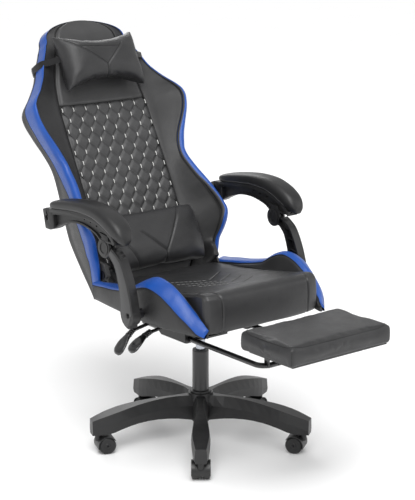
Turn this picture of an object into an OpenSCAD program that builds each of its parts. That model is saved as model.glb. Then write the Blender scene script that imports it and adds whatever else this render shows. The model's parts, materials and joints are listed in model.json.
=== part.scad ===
// Reclining gaming chair: five-star base on twin-wheel casters, gas column, upholstered seat,
// reclining winged backrest, armrests that stay level as it reclines, and a pull-out footrest.
// The chair faces -Y, +X is the sitter's left, and the origin is on the floor under the column.

/* [Star base] */
// Radius of the circle of caster stems
stem_radius = 310; // [280:5:340]
// Turn of the first leg about the column
leg_turn = 232; // [0:1:359]
// Height of the pads that carry the casters
pad_underside = 58; // [56:1:64]
// Height of the base's hub
hub_top = 159; // [150:1:170]

/* [Casters] */
// Wheel diameter
wheel_d = 50; // [44:1:54]
// Distance from the stem to the wheels' axle
trail = 22; // [16:1:26]

/* [Column] */
// Outer diameter of the column tube
tube_d = 48; // [44:1:50]
// Height of the column tube's top
tube_top = 278; // [265:1:290]
// Diameter of the gas cylinder
cylinder_d = 28; // [26:1:30]

/* [Seat] */
// Height of the seat board's underside
board_z = 430; // [425:1:440]
// Width of the seat cushion between its side bolsters
cushion_w = 398; // [380:2:398]
// Height of the cushion's front edge
cushion_front_top = 537; // [525:1:545]

/* [Backrest] */
// Lean of the backrest from upright
back_lean = 28; // [20:1:30]
// Height of the backrest along its own slope
back_h = 836; // [800:1:850]
// Half the width of the quilted centre panel
panel_half = 156; // [145:1:160]

/* [Linked armrests] */
// Distance of each armrest from the middle of the chair
arm_x = 308; // [304:1:312]
// Forward reach of the strut's bolt on the seat
strut_y = -88; // [-92:1:-84]
// Height of the strut's bolt on the seat
strut_z = 461; // [458:1:464]
// Rise of the strut from its bolt to the knuckle
link_rise = 167; // [163:1:171]
// Rearward run of the strut from its bolt to the knuckle
link_run = 113; // [110:1:116]

/* [Footrest] */
// Distance of each rail from the middle of the chair
rail_x = 110; // [105:1:115]
// Diameter of the footrest rails
rail_d = 15; // [14:0.5:16]
// Width of the footrest pad
foot_w = 356; // [330:2:370]

/* [Hidden] */
fit = 0.05;
gap = 0.4;
recline_y = 195;
recline_z = 497;
knuckle_y = strut_y + link_run;
knuckle_z = strut_z + link_rise;
arm_rear_y = recline_y + link_run;
arm_rear_z = recline_z + link_rise;
plate_t = 6;
foot_hinge_y = -405;
foot_hinge_z = 421;
foot_back_y = -412;
rail_z = 356;
shoulder_bolt_r = 6;
lever_ys = [-42, 18];

// Smooth curve through a list of points: steps points on each stretch.
function blend4(a, b, c, d, t) =
    0.5 * (2 * b + (c - a) * t + (2 * a - 5 * b + 4 * c - d) * t * t + (3 * b - a - 3 * c + d) * t * t * t);
function spline(p, steps = 5) = concat(
    [for (i = [0:len(p) - 2], k = [0:steps - 1])
        blend4(p[max(i - 1, 0)], p[i], p[i + 1], p[min(i + 2, len(p) - 1)], k / steps)],
    [p[len(p) - 1]]);
// Value at s of a smooth curve through [s, value] pairs.
function place(p, s, i = 0) = (i >= len(p) - 2 || s <= p[i + 1][0]) ? i : place(p, s, i + 1);
function along(p, s) = let (
    i = place(p, s),
    t = min(max((s - p[i][0]) / (p[i + 1][0] - p[i][0]), 0), 1)
) blend4(p[max(i - 1, 0)][1], p[i][1], p[i + 1][1], p[min(i + 2, len(p) - 1)][1], t);
// Outline of a band of varying half-width along a centre line of [y, z, half-width] points.
function unit(v) = v / norm(v);
function side_of(c, i, way) = let (
    d = unit([for (k = [0:1]) c[min(i + 1, len(c) - 1)][k] - c[max(i - 1, 0)][k]])
) [c[i][0] - way * d[1] * c[i][2], c[i][1] + way * d[0] * c[i][2]];
function ribbon(c) = concat(
    [for (i = [0:len(c) - 1]) side_of(c, i, 1)],
    [for (i = [len(c) - 1:-1:0]) side_of(c, i, -1)]);
function thinner(c, by) = [for (p = c) [p[0], p[1], p[2] - by]];

// Closed skin over a list of equal rings, which run anticlockwise seen from the last one.
// cap, when given, lists triangles for a hollow-sided end; other picks the second diagonal of each quad.
module loft(rings, flip = false, cap = [], other = false) {
    n = len(rings[0]);
    m = len(rings);
    pts = [for (r = rings, i = [0:n - 1]) r[flip ? n - 1 - i : i]];
    sides = [for (j = [0:m - 2], i = [0:n - 1], half = [0:1]) let (k = (i + 1) % n)
        other
            ? (half == 0 ? [j * n + i, (j + 1) * n + i, j * n + k] : [(j + 1) * n + i, (j + 1) * n + k, j * n + k])
            : (half == 0 ? [j * n + i, (j + 1) * n + i, (j + 1) * n + k] : [j * n + i, (j + 1) * n + k, j * n + k])];
    first = len(cap) > 0 ? cap : [[for (i = [0:n - 1]) i]];
    last = len(cap) > 0 ? [for (t = cap) [for (q = [2:-1:0]) (m - 1) * n + t[q]]]
        : [[for (i = [n - 1:-1:0]) (m - 1) * n + i]];
    polyhedron(pts, concat(first, sides, last), convexity = 8);
}
// Outline in the Y-Z plane, thickened along X from x0 to x1.
module side_plate(points, x0, x1) {
    translate([x0, 0, 0]) rotate([90, 0, 90]) linear_extrude(x1 - x0) polygon(points);
}
// Cylinder along X from x0 to x1.
module bar_x(x0, x1, y, z, r) {
    translate([x0, y, z]) rotate([0, 90, 0]) cylinder(h = x1 - x0, r = r, $fn = 48);
}
// Round bar between two points.
module bar(a, b, r) {
    d = b - a;
    translate(a) rotate([0, acos(d[2] / norm(d)), atan2(d[1], d[0])]) cylinder(h = norm(d), r = r, $fn = 32);
}
module mirrored(side) {
    if (side > 0) children();
    else mirror([1, 0, 0]) children();
}
module on_leg(i) {
    rotate([0, 0, leg_turn + 72 * (i - 1)]) children();
}
module in_back() {
    translate([0, 190, 450]) rotate([-back_lean, 0, 0]) children();
}

// ---- Star base
function leg_top(r) = 147 - 46 * pow(max(r - 60, 0) / 270, 2.2);
function leg_low(r) = r < 145 ? 86 - 14 * pow((145 - r) / 120, 2)
    : max(86 - 28 * pow((r - 145) / 135, 2), pad_underside);
leg_widths = [[14, 24], [70, 20], [130, 20], [200, 24], [245, 27], [290, 25], [stem_radius + 20, 18]];
ridge_widths = [[14, 16], [70, 7], [130, 9], [200, 17], [245, 23], [290, 22], [stem_radius + 20, 15]];
module leg() {
    stations = [14, 45, 75, 105, 135, 165, 195, 220, 245, 268, 290, 310, stem_radius + 20];
    loft([for (r = stations) let (
        w = along(leg_widths, r),
        c = along(ridge_widths, r),
        t = leg_top(r),
        b = leg_low(r),
        e = min(t - 6, max(b + 12, t - 30))
    ) [[r, -w + 3, b], [r, w - 3, b], [r, w, e], [r, c, t], [r, -c, t], [r, -w, e]]]);
}
module star_base() color("#26272a") difference() {
    union() {
        for (i = [1:5]) on_leg(i) leg();
        translate([0, 0, 72]) cylinder(h = hub_top - 78, r = 36, $fn = 64);
        translate([0, 0, hub_top - 6]) cylinder(h = 6, r = 31, $fn = 64);
    }
    translate([0, 0, 60]) cylinder(h = 110, r = tube_d / 2, $fn = 64);
    for (i = [1:5]) on_leg(i) translate([stem_radius, 0, 50]) cylinder(h = 38, r = 5.5, $fn = 32);
}
module caster_stems() color("#9a9da1") {
    for (i = [1:5]) on_leg(i) translate([stem_radius, 0, 42]) cylinder(h = 46, r = 5.5, $fn = 32);
}

// ---- Casters: hood, axle and a pair of wheels each, all trailing towards the hub
wheel_r = wheel_d / 2;
module at_caster(i) {
    on_leg(i) translate([stem_radius, 0, 0]) children();
}
module caster_hood(i) color("#1d1e20") at_caster(i) {
    difference() {
        union() {
            translate([-trail, 27, wheel_r]) rotate([90, 0, 0]) cylinder(h = 54, r = wheel_r + 3.5, $fn = 64);
            translate([0, 0, 38]) cylinder(h = pad_underside - 39, r = 10, $fn = 32);
        }
        for (y = [5, -27.5]) translate([-trail, y + 22.5, wheel_r]) rotate([90, 0, 0])
            cylinder(h = 22.5, r = wheel_r + 0.8, $fn = 64);
        translate([-trail, 0, wheel_r]) rotate([0, 25, 0]) translate([-60, -40, -100]) cube([120, 80, 104]);
        translate([0, 0, 42]) cylinder(h = 30, r = 5.5 + fit, $fn = 32);
    }
    difference() {
        translate([-trail, 4.5, wheel_r]) rotate([90, 0, 0]) cylinder(h = 9, r = wheel_r - 6, $fn = 48);
        translate([-trail, 10, wheel_r]) rotate([90, 0, 0]) cylinder(h = 20, r = 3, $fn = 32);
    }
}
module caster_axle(i) color("#9a9da1") at_caster(i)
    translate([-trail, 21, wheel_r]) rotate([90, 0, 0]) cylinder(h = 42, r = 3, $fn = 32);
module wheel_half() {
    rotate_extrude($fn = 96) polygon([[3 + fit, 5.3], [wheel_r - 2, 5.3], [wheel_r, 7.3], [wheel_r, 23],
        [wheel_r - 3, 26], [wheel_r - 6, 25], [8, 24], [7, 25], [3 + fit, 25]]);
}
module caster_wheels(i) color("#202124") at_caster(i) translate([-trail, 0, wheel_r]) {
    rotate([90, 0, 0]) wheel_half();
    rotate([-90, 0, 0]) wheel_half();
}

// ---- Gas column
tube_r = tube_d / 2;
cyl_r = cylinder_d / 2;
module column_tube() color("#2b2c2f") rotate_extrude($fn = 96) polygon([
    [5 + fit, 62], [tube_r, 62], [tube_r, tube_top], [tube_r - 2, tube_top], [tube_r - 2, 65], [5 + fit, 65]]);
module guide_bush() color("#141516") rotate_extrude($fn = 96) polygon([
    [cyl_r + fit, 205], [tube_r - 2, 205], [tube_r - 2, tube_top], [tube_r, tube_top],
    [tube_r - 1, tube_top + 4], [cyl_r + fit, tube_top + 4]]);
module thrust_bearing() color("#8d9094") rotate_extrude($fn = 96) polygon([
    [5 + fit, 65], [16, 65], [16, 71], [5 + fit, 71]]);
module piston_rod() color("#c4c7ca") rotate_extrude($fn = 96) polygon([
    [0, 60], [5, 60], [5, 71], [10, 71], [10, 75], [5, 75], [5, 256], [cyl_r - 2 - fit, 256],
    [cyl_r - 2 - fit, 268], [0, 268]]);
module gas_cylinder() color("#d5d8db") rotate_extrude($fn = 96) polygon([
    [5 + fit, 92], [cyl_r, 92], [cyl_r, 370], [3 + fit, 370], [3 + fit, 300], [cyl_r - 2, 300],
    [cyl_r - 2, 102], [5 + fit, 102]]);
module release_button() color("#b0392f") rotate_extrude($fn = 64) polygon([
    [0, 306], [3, 306], [3, 386], [6, 386], [6, 392.6], [0, 392.6]]);

// ---- Seat plate: a pressed steel channel with a socket for the gas cylinder
module seat_plate() color("#222326") {
    difference() {
        union() {
            translate([-100, -110, board_z - 4]) cube([200, 220, 4]);
            for (x = [-64, 60]) side_plate([[-90, board_z - 4], [-60, 352], [-45, 330], [45, 330],
                [60, 352], [90, board_z - 4]], x, x + 4);
            translate([-64, -45, 326]) cube([128, 90, 5]);
            translate([0, 0, 318]) cylinder(h = 40, r = 22, $fn = 64);
        }
        translate([0, 0, 300]) cylinder(h = 100, r = cyl_r, $fn = 64);
        bar_x(-80, -50, lever_ys[0] + 5, 402, 9);
        bar_x(-80, -50, lever_ys[1], 402, 8);
        for (x = [-84, 84], y = [-90, 90]) translate([x, y, board_z - 10]) cylinder(h = 20, r = 4.2, $fn = 32);
    }
}
module plate_bolts() color("#8f9296") for (x = [-84, 84], y = [-90, 90]) translate([x, y, 0]) {
    translate([0, 0, board_z - 10]) cylinder(h = 6, r = 7, $fn = 6);
    translate([0, 0, board_z - 4]) cylinder(h = 14, r = 4, $fn = 32);
}

// ---- Levers: each rocks on a pin under the seat plate and ends in a paddle handle
pivot_x = -76;
pivot_z = 404;
handle_x = [-205, -222];
handle_z = [384, 378];
handle_drop = [30, 45];
handle_rows = [[0, 8, 8], [12, 9, 8], [20, 12, 7], [45, 16, 7], [66, 17, 8], [80, 15, 8], [86, 9, 6]];
module lever_rod(k) {
    y = lever_ys[k];
    bar([handle_x[k], y, handle_z[k]], [pivot_x - 5, y, pivot_z - 0.7], 5);
    difference() {
        translate([pivot_x, y + 8, pivot_z]) rotate([90, 0, 0]) cylinder(h = 16, r = 7, $fn = 32);
        translate([pivot_x, y + 20, pivot_z]) rotate([90, 0, 0]) cylinder(h = 40, r = 3 + fit, $fn = 32);
    }
}
module lever_handle(k) {
    translate([handle_x[k] - 0.3, lever_ys[k], handle_z[k]]) rotate([0, -90 - handle_drop[k], 0])
        translate([0, 0, 4]) loft([for (r = spline(handle_rows, 2))
            [for (a = [0:30:330]) [r[2] * cos(a), r[1] * sin(a), r[0]]]]);
}
module height_lever_rod() color("#3a3c3f") {
    lever_rod(0);
    bar([pivot_x + 5, lever_ys[0], pivot_z - 1], [-6, 0, pivot_z - 7], 4);
    translate([-7, -5, pivot_z - 11]) cube([13, 10, 4]);
}
module height_lever_handle() color("#17181a") lever_handle(0);
module recline_lever_rod() color("#3a3c3f") {
    lever_rod(1);
    bar([pivot_x + 5, lever_ys[1], pivot_z - 1], [-30, lever_ys[1], pivot_z - 2], 4);
}
module recline_lever_handle() color("#17181a") lever_handle(1);
module lever_bracket() color("#2a2b2e") {
    translate([pivot_x - 8, -66, board_z - 7]) cube([16, 108, 3]);
    for (y = [-66, -16, 39]) translate([pivot_x - 8, y, pivot_z - 7]) cube([16, 3, board_z - pivot_z + 1]);
    translate([pivot_x, 42, pivot_z]) rotate([90, 0, 0]) cylinder(h = 108, r = 3, $fn = 32);
}

// ---- Seat
module seat_board() color("#b59363") difference() {
    translate([-186, -274, board_z]) cube([372, 434, 12]);
    for (x = [-84, 84], y = [-90, 90]) translate([x, y, board_z - 1]) cylinder(h = 20, r = 4.2, $fn = 32);
}
module seat_cushion() color("#2c2d30") side_plate(concat(
    [[178, board_z + 12.4], [-274.4, board_z + 12.4], [-274.4, board_z]],
    spline([[-282, board_z], [-291, 446], [-293, 480], [-286, 512], [-262, cushion_front_top]], 4),
    spline([[-262, cushion_front_top], [-200, 520], [-60, 497], [60, 483], [172, 474]], 4)),
    -cushion_w / 2, cushion_w / 2);
ridge = [[-290, 447], [-275, 462], [-262, 475], [-245, 492], [-225, 510], [-200, 529], [-160, 549],
    [-112, 558], [-70, 546], [-20, 518], [60, 499], [120, 490], [185, 480]];
edge = [[-290, 428], [-275, 436], [-262, 452], [-245, 468], [-225, 482], [-200, 500], [-160, 524],
    [-112, 535], [-70, 527], [-20, 508], [60, 492], [120, 485], [185, 477]];
inner_rise = [[-290, 440], [-262, 468], [-225, 494], [-200, 503], [-100, 505], [0, 495], [100, 482], [185, 474]];
hem = [[-290, 424], [-262, 428], [-225, 430], [185, 430]];
outer_x = [[-290, 214], [-275, 226], [-262, 236], [-245, 244], [-225, 250], [-200, 255], [-160, 262],
    [-112, 266], [-20, 265], [60, 258], [120, 252], [185, 245]];
side_ys = [-290, -282, -275, -268, -262, -254, -245, -235, -225, -212, -200, -180, -160, -130, -100, -60, -20,
    20, 60, 100, 124, 130, 160, 185];
seam_x = [[-290, 203], [-275, 208], [-262, 213], [-245, 219], [-225, 224], [-200, 227], [-112, 230],
    [-20, 228], [60, 225], [120, 220], [185, 217]];
function inner_x(y) = y > 125 ? 214 : cushion_w / 2 + gap;
function trim_x(y) = max(along(seam_x, y), cushion_w / 2 + gap + 3);
module seat_side(side) color("#2c2d30") difference() {
    mirrored(side) loft([for (y = side_ys) let (
        x0 = inner_x(y),
        x1 = along(outer_x, y),
        zt = along(ridge, y) - 5,
        xt = max(trim_x(y), x0 + 3)
    ) [[x0, y, along(hem, y)], [x1 - 4, y, along(hem, y)], [x1, y, along(edge, y) - gap],
        [x1 - 6, y, along(edge, y) - gap], [xt, y, zt], [x0, y, along(inner_rise, y)]]], true);
    bar_x(side > 0 ? 239 : -300, side > 0 ? 300 : -239, strut_y, strut_z, shoulder_bolt_r + 0.5);
}
module seat_trim() color("#2455d6") for (side = [-1, 1]) mirrored(side)
    loft([for (k = [len(side_ys) - 4:-1:0]) let (
        y = side_ys[k],
        x1 = along(outer_x, y),
        zt = along(ridge, y),
        xt = trim_x(y)
    ) [[x1 - 6, y, along(edge, y)], [x1 + 0.5, y, along(edge, y)], [xt + 3, y, zt + 2],
        [xt, y, zt - 5 + gap]]], other = true);

// ---- Recliner: a fixed plate on the seat board and a moving plate on the back frame, each side
module recliner_plates() color("#4a4c50") for (side = [-1, 1]) mirrored(side) difference() {
    union() {
        side_plate([[133, board_z - 6], [190, board_z - 6], [205, 470],
            [208, recline_z], [182, recline_z], [166, 470]], 200.6, 206.6);
        bar_x(200.6, 206.6, recline_y, recline_z, 18);
        translate([150, 120, board_z - 6]) cube([54, 39, 6]);
    }
    bar_x(180, 220, recline_y, recline_z, 8);
}
module recliner_bolts() color("#9a9da1") for (side = [-1, 1]) mirrored(side) {
    bar_x(192.6, 206.6, recline_y, recline_z, 8);
    bar_x(206.6, 210.2, recline_y, recline_z, 13);
}
module strut_bolts() color("#9a9da1") for (side = [-1, 1]) mirrored(side) {
    bar_x(241, 310, strut_y, strut_z, shoulder_bolt_r);
    bar_x(310, 314, strut_y, strut_z, 9);
    bar_x(273.5, arm_in - 3 - gap, strut_y, strut_z, 14);
}
module recliner_arms() color("#4a4c50") for (side = [-1, 1]) mirrored(side) difference() {
    union() {
        bar_x(194, 199.6, recline_y, recline_z, 18);
        in_back() side_plate([[-30, 30], [67, 58], [73, 110], [60, 110], [-30, 62]], 194, 199.6);
        in_back() translate([130, 67, 60]) cube([69.6, 5, 46]);
    }
    bar_x(180, 220, recline_y, recline_z, 8 + fit);
}

// ---- Footrest: guides under the board, a bent tube that slides in them, and a hinged pad
module footrest_guides() color("#2a2b2e") for (side = [-1, 1]) mirrored(side) difference() {
    union() {
        translate([rail_x - 12, -90.8, rail_z - 12]) cube([24, 110.8, 24]);
        for (y = [-84, -12]) translate([rail_x - 9, y, rail_z + 12]) cube([18, 14, board_z - rail_z - 12]);
    }
    translate([rail_x, 60, rail_z]) rotate([90, 0, 0]) cylinder(h = 200, r = rail_d / 2 + fit, $fn = 48);
}
module footrest_covers() color("#1d1e20") for (side = [-1, 1]) mirrored(side) difference() {
    translate([rail_x, 0, 0]) side_plate([[-92, 346], [-92, 376], [-60, 388], [10, 388], [34, 378],
        [34, 356], [20, 346]], -17, 17);
    translate([rail_x - 12.2, -91, rail_z - 12.2]) cube([24.4, 111.4, 24.4]);
    translate([rail_x - 12.2, -91.8, rail_z - 30]) cube([24.4, 111.4, 20]);
    for (y = [-84, -12]) translate([rail_x - 9.2, y - 0.2, rail_z + 6]) cube([18.4, 14.4, 90]);
    translate([rail_x, 60, rail_z]) rotate([90, 0, 0]) cylinder(h = 200, r = rail_d / 2 + 1, $fn = 48);
}
bend_r = 30;
module footrest_rails() color("#17181a") {
    r = rail_d / 2;
    for (side = [-1, 1]) mirrored(side) {
        translate([rail_x, 125, rail_z]) rotate([90, 0, 0]) cylinder(h = 125 - foot_hinge_y - bend_r, r = r, $fn = 48);
        translate([rail_x - bend_r, foot_hinge_y + bend_r, rail_z]) rotate([0, 0, -90])
            rotate_extrude(angle = 90, $fn = 96) translate([bend_r, 0]) circle(r = r, $fn = 48);
        for (x = [56, 92]) difference() {
            side_plate(concat([[foot_hinge_y - 9, rail_z - 4], [foot_hinge_y + 9, rail_z - 4]],
                [for (a = [0:20:180]) [foot_hinge_y + 9 * cos(a), foot_hinge_z - 11 + 9 * sin(a)]]), x, x + 4);
            bar_x(50, 100, foot_hinge_y, foot_hinge_z - 11, 4 + fit);
        }
    }
    bar_x(-rail_x + bend_r, rail_x - bend_r, foot_hinge_y, rail_z, r);
}
module footrest_board() color("#2a2b2e") {
    translate([-foot_w / 2 + 12, -588, 411]) cube([foot_w - 24, 170, 8]);
    for (side = [-1, 1]) mirrored(side) difference() {
        union() {
            bar_x(61, 91, foot_hinge_y, foot_hinge_z - 11, 9);
            translate([61, foot_back_y - 40, 407]) cube([30, 42, 4]);
            translate([61, foot_back_y - 10, 402]) cube([30, 12, 9]);
        }
        bar_x(50, 100, foot_hinge_y, foot_hinge_z - 11, 4);
    }
    for (side = [-1, 1]) mirrored(side) bar_x(54, 98, foot_hinge_y, foot_hinge_z - 11, 4);
}
function round_box(w, d, r) = [for (c = [[1, 1, 0], [-1, 1, 90], [-1, -1, 180], [1, -1, 270]], a = [0:30:90])
    [c[0] * (w / 2 - r) + r * cos(c[2] + a), c[1] * (d / 2 - r) + r * sin(c[2] + a)]];
module footrest_pad() color("#2c2d30") translate([0, (foot_back_y + 24 - 596) / 2, 0])
    loft([for (k = [[419.4, 0, 12], [452, 2, 14], [463, -4, 16], [468, -16, 20]])
        [for (p = round_box(foot_w + k[1], 596 + foot_back_y + 24 + k[1], k[2])) [p[0], p[1], k[0]]]]);

// ---- Armrests and their struts
arm_in = arm_x - 13;
arm_out = arm_x + 9;
strut_line = [[strut_y - 2, strut_z - 22, 22], [strut_y + 8, strut_z, 29], [strut_y + 12, strut_z + 40, 27],
    [strut_y + 24, strut_z + 90, 25], [strut_y + 46, strut_z + 136, 22], [strut_y + 59, strut_z + 151, 18]];
module arm_strut(side) color("#2a2b2d") mirrored(side) difference() {
    union() {
        difference() {
            union() {
                side_plate(ribbon(spline(strut_line, 4)), arm_in - 3, arm_out + 1);
                bar_x(arm_in - 3, arm_out + 1, strut_y + 2, strut_z - 8, 25);
            }
            side_plate(ribbon(thinner(spline(strut_line, 4), 6)), arm_in - 10, arm_out - 5);
            bar_x(arm_in - 20, arm_out + 20, knuckle_y, knuckle_z, 31);
        }
        side_plate([[strut_y + 48, strut_z + 132], [knuckle_y + 6, knuckle_z - 14],
            [knuckle_y - 6, knuckle_z + 14], [strut_y + 58, strut_z + 164]], arm_x - 6, arm_x + 2);
        bar_x(arm_x - 6, arm_x + 2, knuckle_y, knuckle_z, 16);
        bar_x(arm_in - 3, arm_out - 2, strut_y, strut_z, 15);
    }
    bar_x(arm_in - 20, arm_out + 20, knuckle_y, knuckle_z, shoulder_bolt_r + 1);
    bar_x(arm_in - 20, arm_out + 20, strut_y, strut_z, shoulder_bolt_r + fit);
    bar_x(309.5, arm_out + 20, strut_y, strut_z, 9 + fit);
}
frame_line = [[-44, 653, 7], [-20, 660, 9], [10, 668, 12], [50, 682, 13], [110, 691, 13], [170, 689, 13],
    [230, 680, 17], [280, 669, 20], [316, 660, 22]];
pad_top = [[304, 690], [292, 706], [255, 718], [190, 733], [115, 744], [45, 744], [-20, 733], [-72, 710],
    [-98, 684], [-100, 664], [-84, 648], [-60, 645]];
pad_low = [[-60, 645], [-30, 664.5], [10, 681.5], [50, 696.5], [110, 705.5], [170, 703.5], [230, 698.5],
    [304, 690]];
module armrest_frame(side) color("#1f2022") mirrored(side) {
    difference() {
        union() {
            side_plate(ribbon(spline(frame_line, 4)), arm_in, arm_out);
            bar_x(arm_in, arm_out, knuckle_y, knuckle_z, 28);
            side_plate([[knuckle_y - 20, knuckle_z + 18], [knuckle_y + 27, knuckle_z],
                [knuckle_y + 40, knuckle_z + 44], [knuckle_y - 28, knuckle_z + 34]], arm_in, arm_out);
        }
        bar_x(arm_x - 6.5, arm_x + 2.5, knuckle_y, knuckle_z, 33);
        side_plate([[knuckle_y - 60, knuckle_z - 30], [knuckle_y, knuckle_z - 34], [knuckle_y, knuckle_z + 20],
            [knuckle_y - 60, knuckle_z + 22]], arm_x - 6.5, arm_x + 2.5);
        side_plate(concat([for (q = spline(pad_low, 3)) [q[0], q[1] - 0.3]], [[304, 760], [-60, 760]]),
            arm_in - 5, arm_out + 5);
        for (y = [72, 104, 136]) bar_x(arm_in - 5, arm_out + 5, y, 689 - abs(y - 110) * 0.12, 5);
        bar_x(arm_in - 5, arm_out + 5, arm_rear_y, arm_rear_z, shoulder_bolt_r + fit);
        bar_x(arm_out - 5, arm_out + 5, arm_rear_y, arm_rear_z, 9 + fit);
    }
    bar_x(arm_in + 1, arm_out - 1, knuckle_y, knuckle_z, shoulder_bolt_r);
}
// Points near the pad's nose draw in towards its middle, the rest sink towards the underside.
function pad_pull(q, k) = q[0] < -60
    ? let (c = [-60, 674], d = norm(q - c)) c + (q - c) * (1 - k * min(1, max(q[1] - 646, 0) / 12 + 0.25) / d)
    : [q[0], q[1] - k * min(1, max(q[1] - along(pad_low, q[0]), 0) / 22)];
// Triangles between the top line (top_n points) and the underside, which share both end points.
top_n = 3 * (len(pad_top) - 1) + 1;
low_n = 3 * (len(pad_low) - 1) + 1;
function low_index(i) = let (j = round((top_n - 1 - i) * (low_n - 1) / (top_n - 1)))
    j == 0 ? top_n - 1 : j == low_n - 1 ? 0 : top_n + j - 1;
pad_cap = [for (i = [0:top_n - 2], half = [0:1]) let (
    t = half == 0 ? [i, i + 1, low_index(i)] : [i + 1, low_index(i + 1), low_index(i)]
) if (t[0] != t[1] && t[1] != t[2] && t[0] != t[2]) t];
module armrest_pad(side) color("#2c2d2f") mirrored(side) translate([arm_x, 0, 0]) loft([
    for (k = [[-33, 9], [-31, 3], [-24, 0], [24, 0], [31, 3], [33, 9]]) let (
        top = spline(pad_top, 3),
        low = spline(pad_low, 3),
        whole = concat([for (q = top) pad_pull(q, k[1])], [for (i = [1:len(low) - 2]) low[i]])
    ) [for (q = whole) [k[0], q[0], q[1]]]], cap = pad_cap);
module armrest_bolts() color("#9a9da1") for (side = [-1, 1]) mirrored(side) {
    bar_x(232, arm_in - gap, arm_rear_y, arm_rear_z, 13);
    bar_x(arm_in - gap, arm_out - 5, arm_rear_y, arm_rear_z, shoulder_bolt_r);
    bar_x(arm_out - 5, arm_out - 1, arm_rear_y, arm_rear_z, 9);
}

// ---- Backrest, in its own leaning frame: x across, -y towards the sitter, z up its slope
outline = [[-10, 208], [40, 212], [90, 219], [150, 226], [190, 228], [310, 220], [390, 217], [440, 229],
    [500, 252], [550, 267], [580, 262], [620, 229], [664, 197], [714, 174], [763, 151], [800, 133],
    [822, 104], [back_h, 60]];
wing = [[-10, -34], [50, -18], [90, 22], [130, 82], [170, 100], [210, 88], [280, 42], [350, 16], [400, 14],
    [450, 28], [520, 42], [570, 36], [620, 14], [680, -2], [760, -8], [back_h, -14]];
front = [[-10, -30], [60, -22], [300, -20], [560, -22], [640, -22], [720, -14], [800, -10], [back_h, -16]];
panel_edge = [[-10, 120], [60, panel_half], [560, panel_half], [640, 146], [714, 128], [763, 108],
    [800, 80], [back_h, 30]];
back_rows = [-10, 20, 50, 80, 110, 140, 170, 200, 240, 280, 320, 360, 400, 440, 480, 510, 540, 565, 590,
    615, 640, 665, 690, 715, 740, 765, 790, 810, 826, back_h];
back_y = 66;
module back_cushion() color("#303134") in_back() loft([for (s = back_rows) let (
    w = along(panel_edge, s),
    f = along(front, s)
) [[-w, -f, s], [w, -f, s], [w, back_y, s], [-w, back_y, s]]]);
module back_side(side) color("#2c2d30") in_back() mirrored(side) difference() {
    back_wing();
    side_plate([[-60, 8], [-20, 20], [70, 44], [70, 118], [50, 118], [-60, 96]], 193.4, 200.2);
}
module back_wing() loft([for (s = back_rows) let (
    x0 = along(panel_edge, s) + gap,
    x1 = along(outline, s) - 6,
    f = along(wing, s)
) [[x0, -along(front, s) - 2, s], [(x0 + x1) / 2, -f - 4, s], [x1 - 4, -f, s], [x1, 6 - f, s],
    [x1, back_y, s], [x0, back_y, s]]]);
module back_trim() color("#2455d6") in_back() for (side = [-1, 1]) mirrored(side)
    loft([for (s = back_rows) let (x1 = along(outline, s), f = along(wing, s))
        [[x1 - 6 + gap, 6 - f, s], [x1, 10 - f, s], [x1, 58, s], [x1 - 6 + gap, 58, s]]]);
function shell_row(s, t) = let (
    w = along(outline, s) - 8 - t,
    d = along([[-10, 84], [60, 98], [300, 106], [600, 104], [760, 92], [back_h, 80]], s) - t
) [[-w, back_y + gap + t, s], [-w, 74, s], [-w * 0.72, d - 5, s], [0, d, s], [w * 0.72, d - 5, s],
    [w, 74, s], [w, back_y + gap + t, s]];
module back_panel() color("#27282a") in_back() difference() {
    loft([for (s = back_rows) shell_row(s, 0)], true);
    loft([for (s = [for (v = back_rows) if (v > 0 && v < 820) v]) shell_row(s, 4)], true);
    translate([-240, 60, 14]) cube([480, 13.4, 98]);
}
module back_frame() color("#3a3c3f") in_back() {
    post = [140, 79, 56];
    knee = [140, 79, 560];
    crown = [92, 78, 740];
    for (side = [-1, 1]) mirrored(side) {
        bar(post, knee, 7);
        translate(knee) sphere(r = 7, $fn = 32);
        bar(knee, crown, 7);
        translate(crown) sphere(r = 7, $fn = 32);
    }
    for (p = [[140, 79, 83], [140, 79, 330], crown]) bar([-p[0], p[1], p[2]], p, 5.5);
}

// ---- Pillows and strap
function pinched(w, h, puff, y0, s0) = [for (t = [-1, -0.8, -0.45, 0, 0.45, 0.8, 1]) let (
    a = abs(t),
    hh = h / 2 * (0.86 + 0.14 * a * a),
    thick = puff * sqrt(1.02 - a * a) + 6
) [for (q = [[0, -1, 0], [0.4, -0.9, 0], [0.95, -0.4, 0], [1, 0, 0], [0.95, 0.4, 0], [0.4, 0.9, 0], [0, 1, 0]])
    [t * w / 2, y0 - q[0] * thick, s0 + q[1] * hh]]];
module head_pillow() color("#2c2d30") in_back() loft(pinched(286, 176, 62, 0, 688), true);
module lumbar_pillow() color("#2c2d30") in_back() loft(pinched(312, 160, 62, 14, 128), true);
strap_s = 706;
module head_strap() color("#1b1c1e") in_back() {
    w = along(outline, strap_s - 10) + 0.6;
    for (side = [-1, 1]) mirrored(side) {
        translate([w, -4, strap_s - 10]) cube([1.6, 112, 20]);
        translate([143.6, -4, strap_s - 10]) cube([w - 143.6 + 1.6, 1.6, 20]);
    }
    translate([-w, 106.4, strap_s - 10]) cube([2 * w, 1.6, 20]);
}

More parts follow.
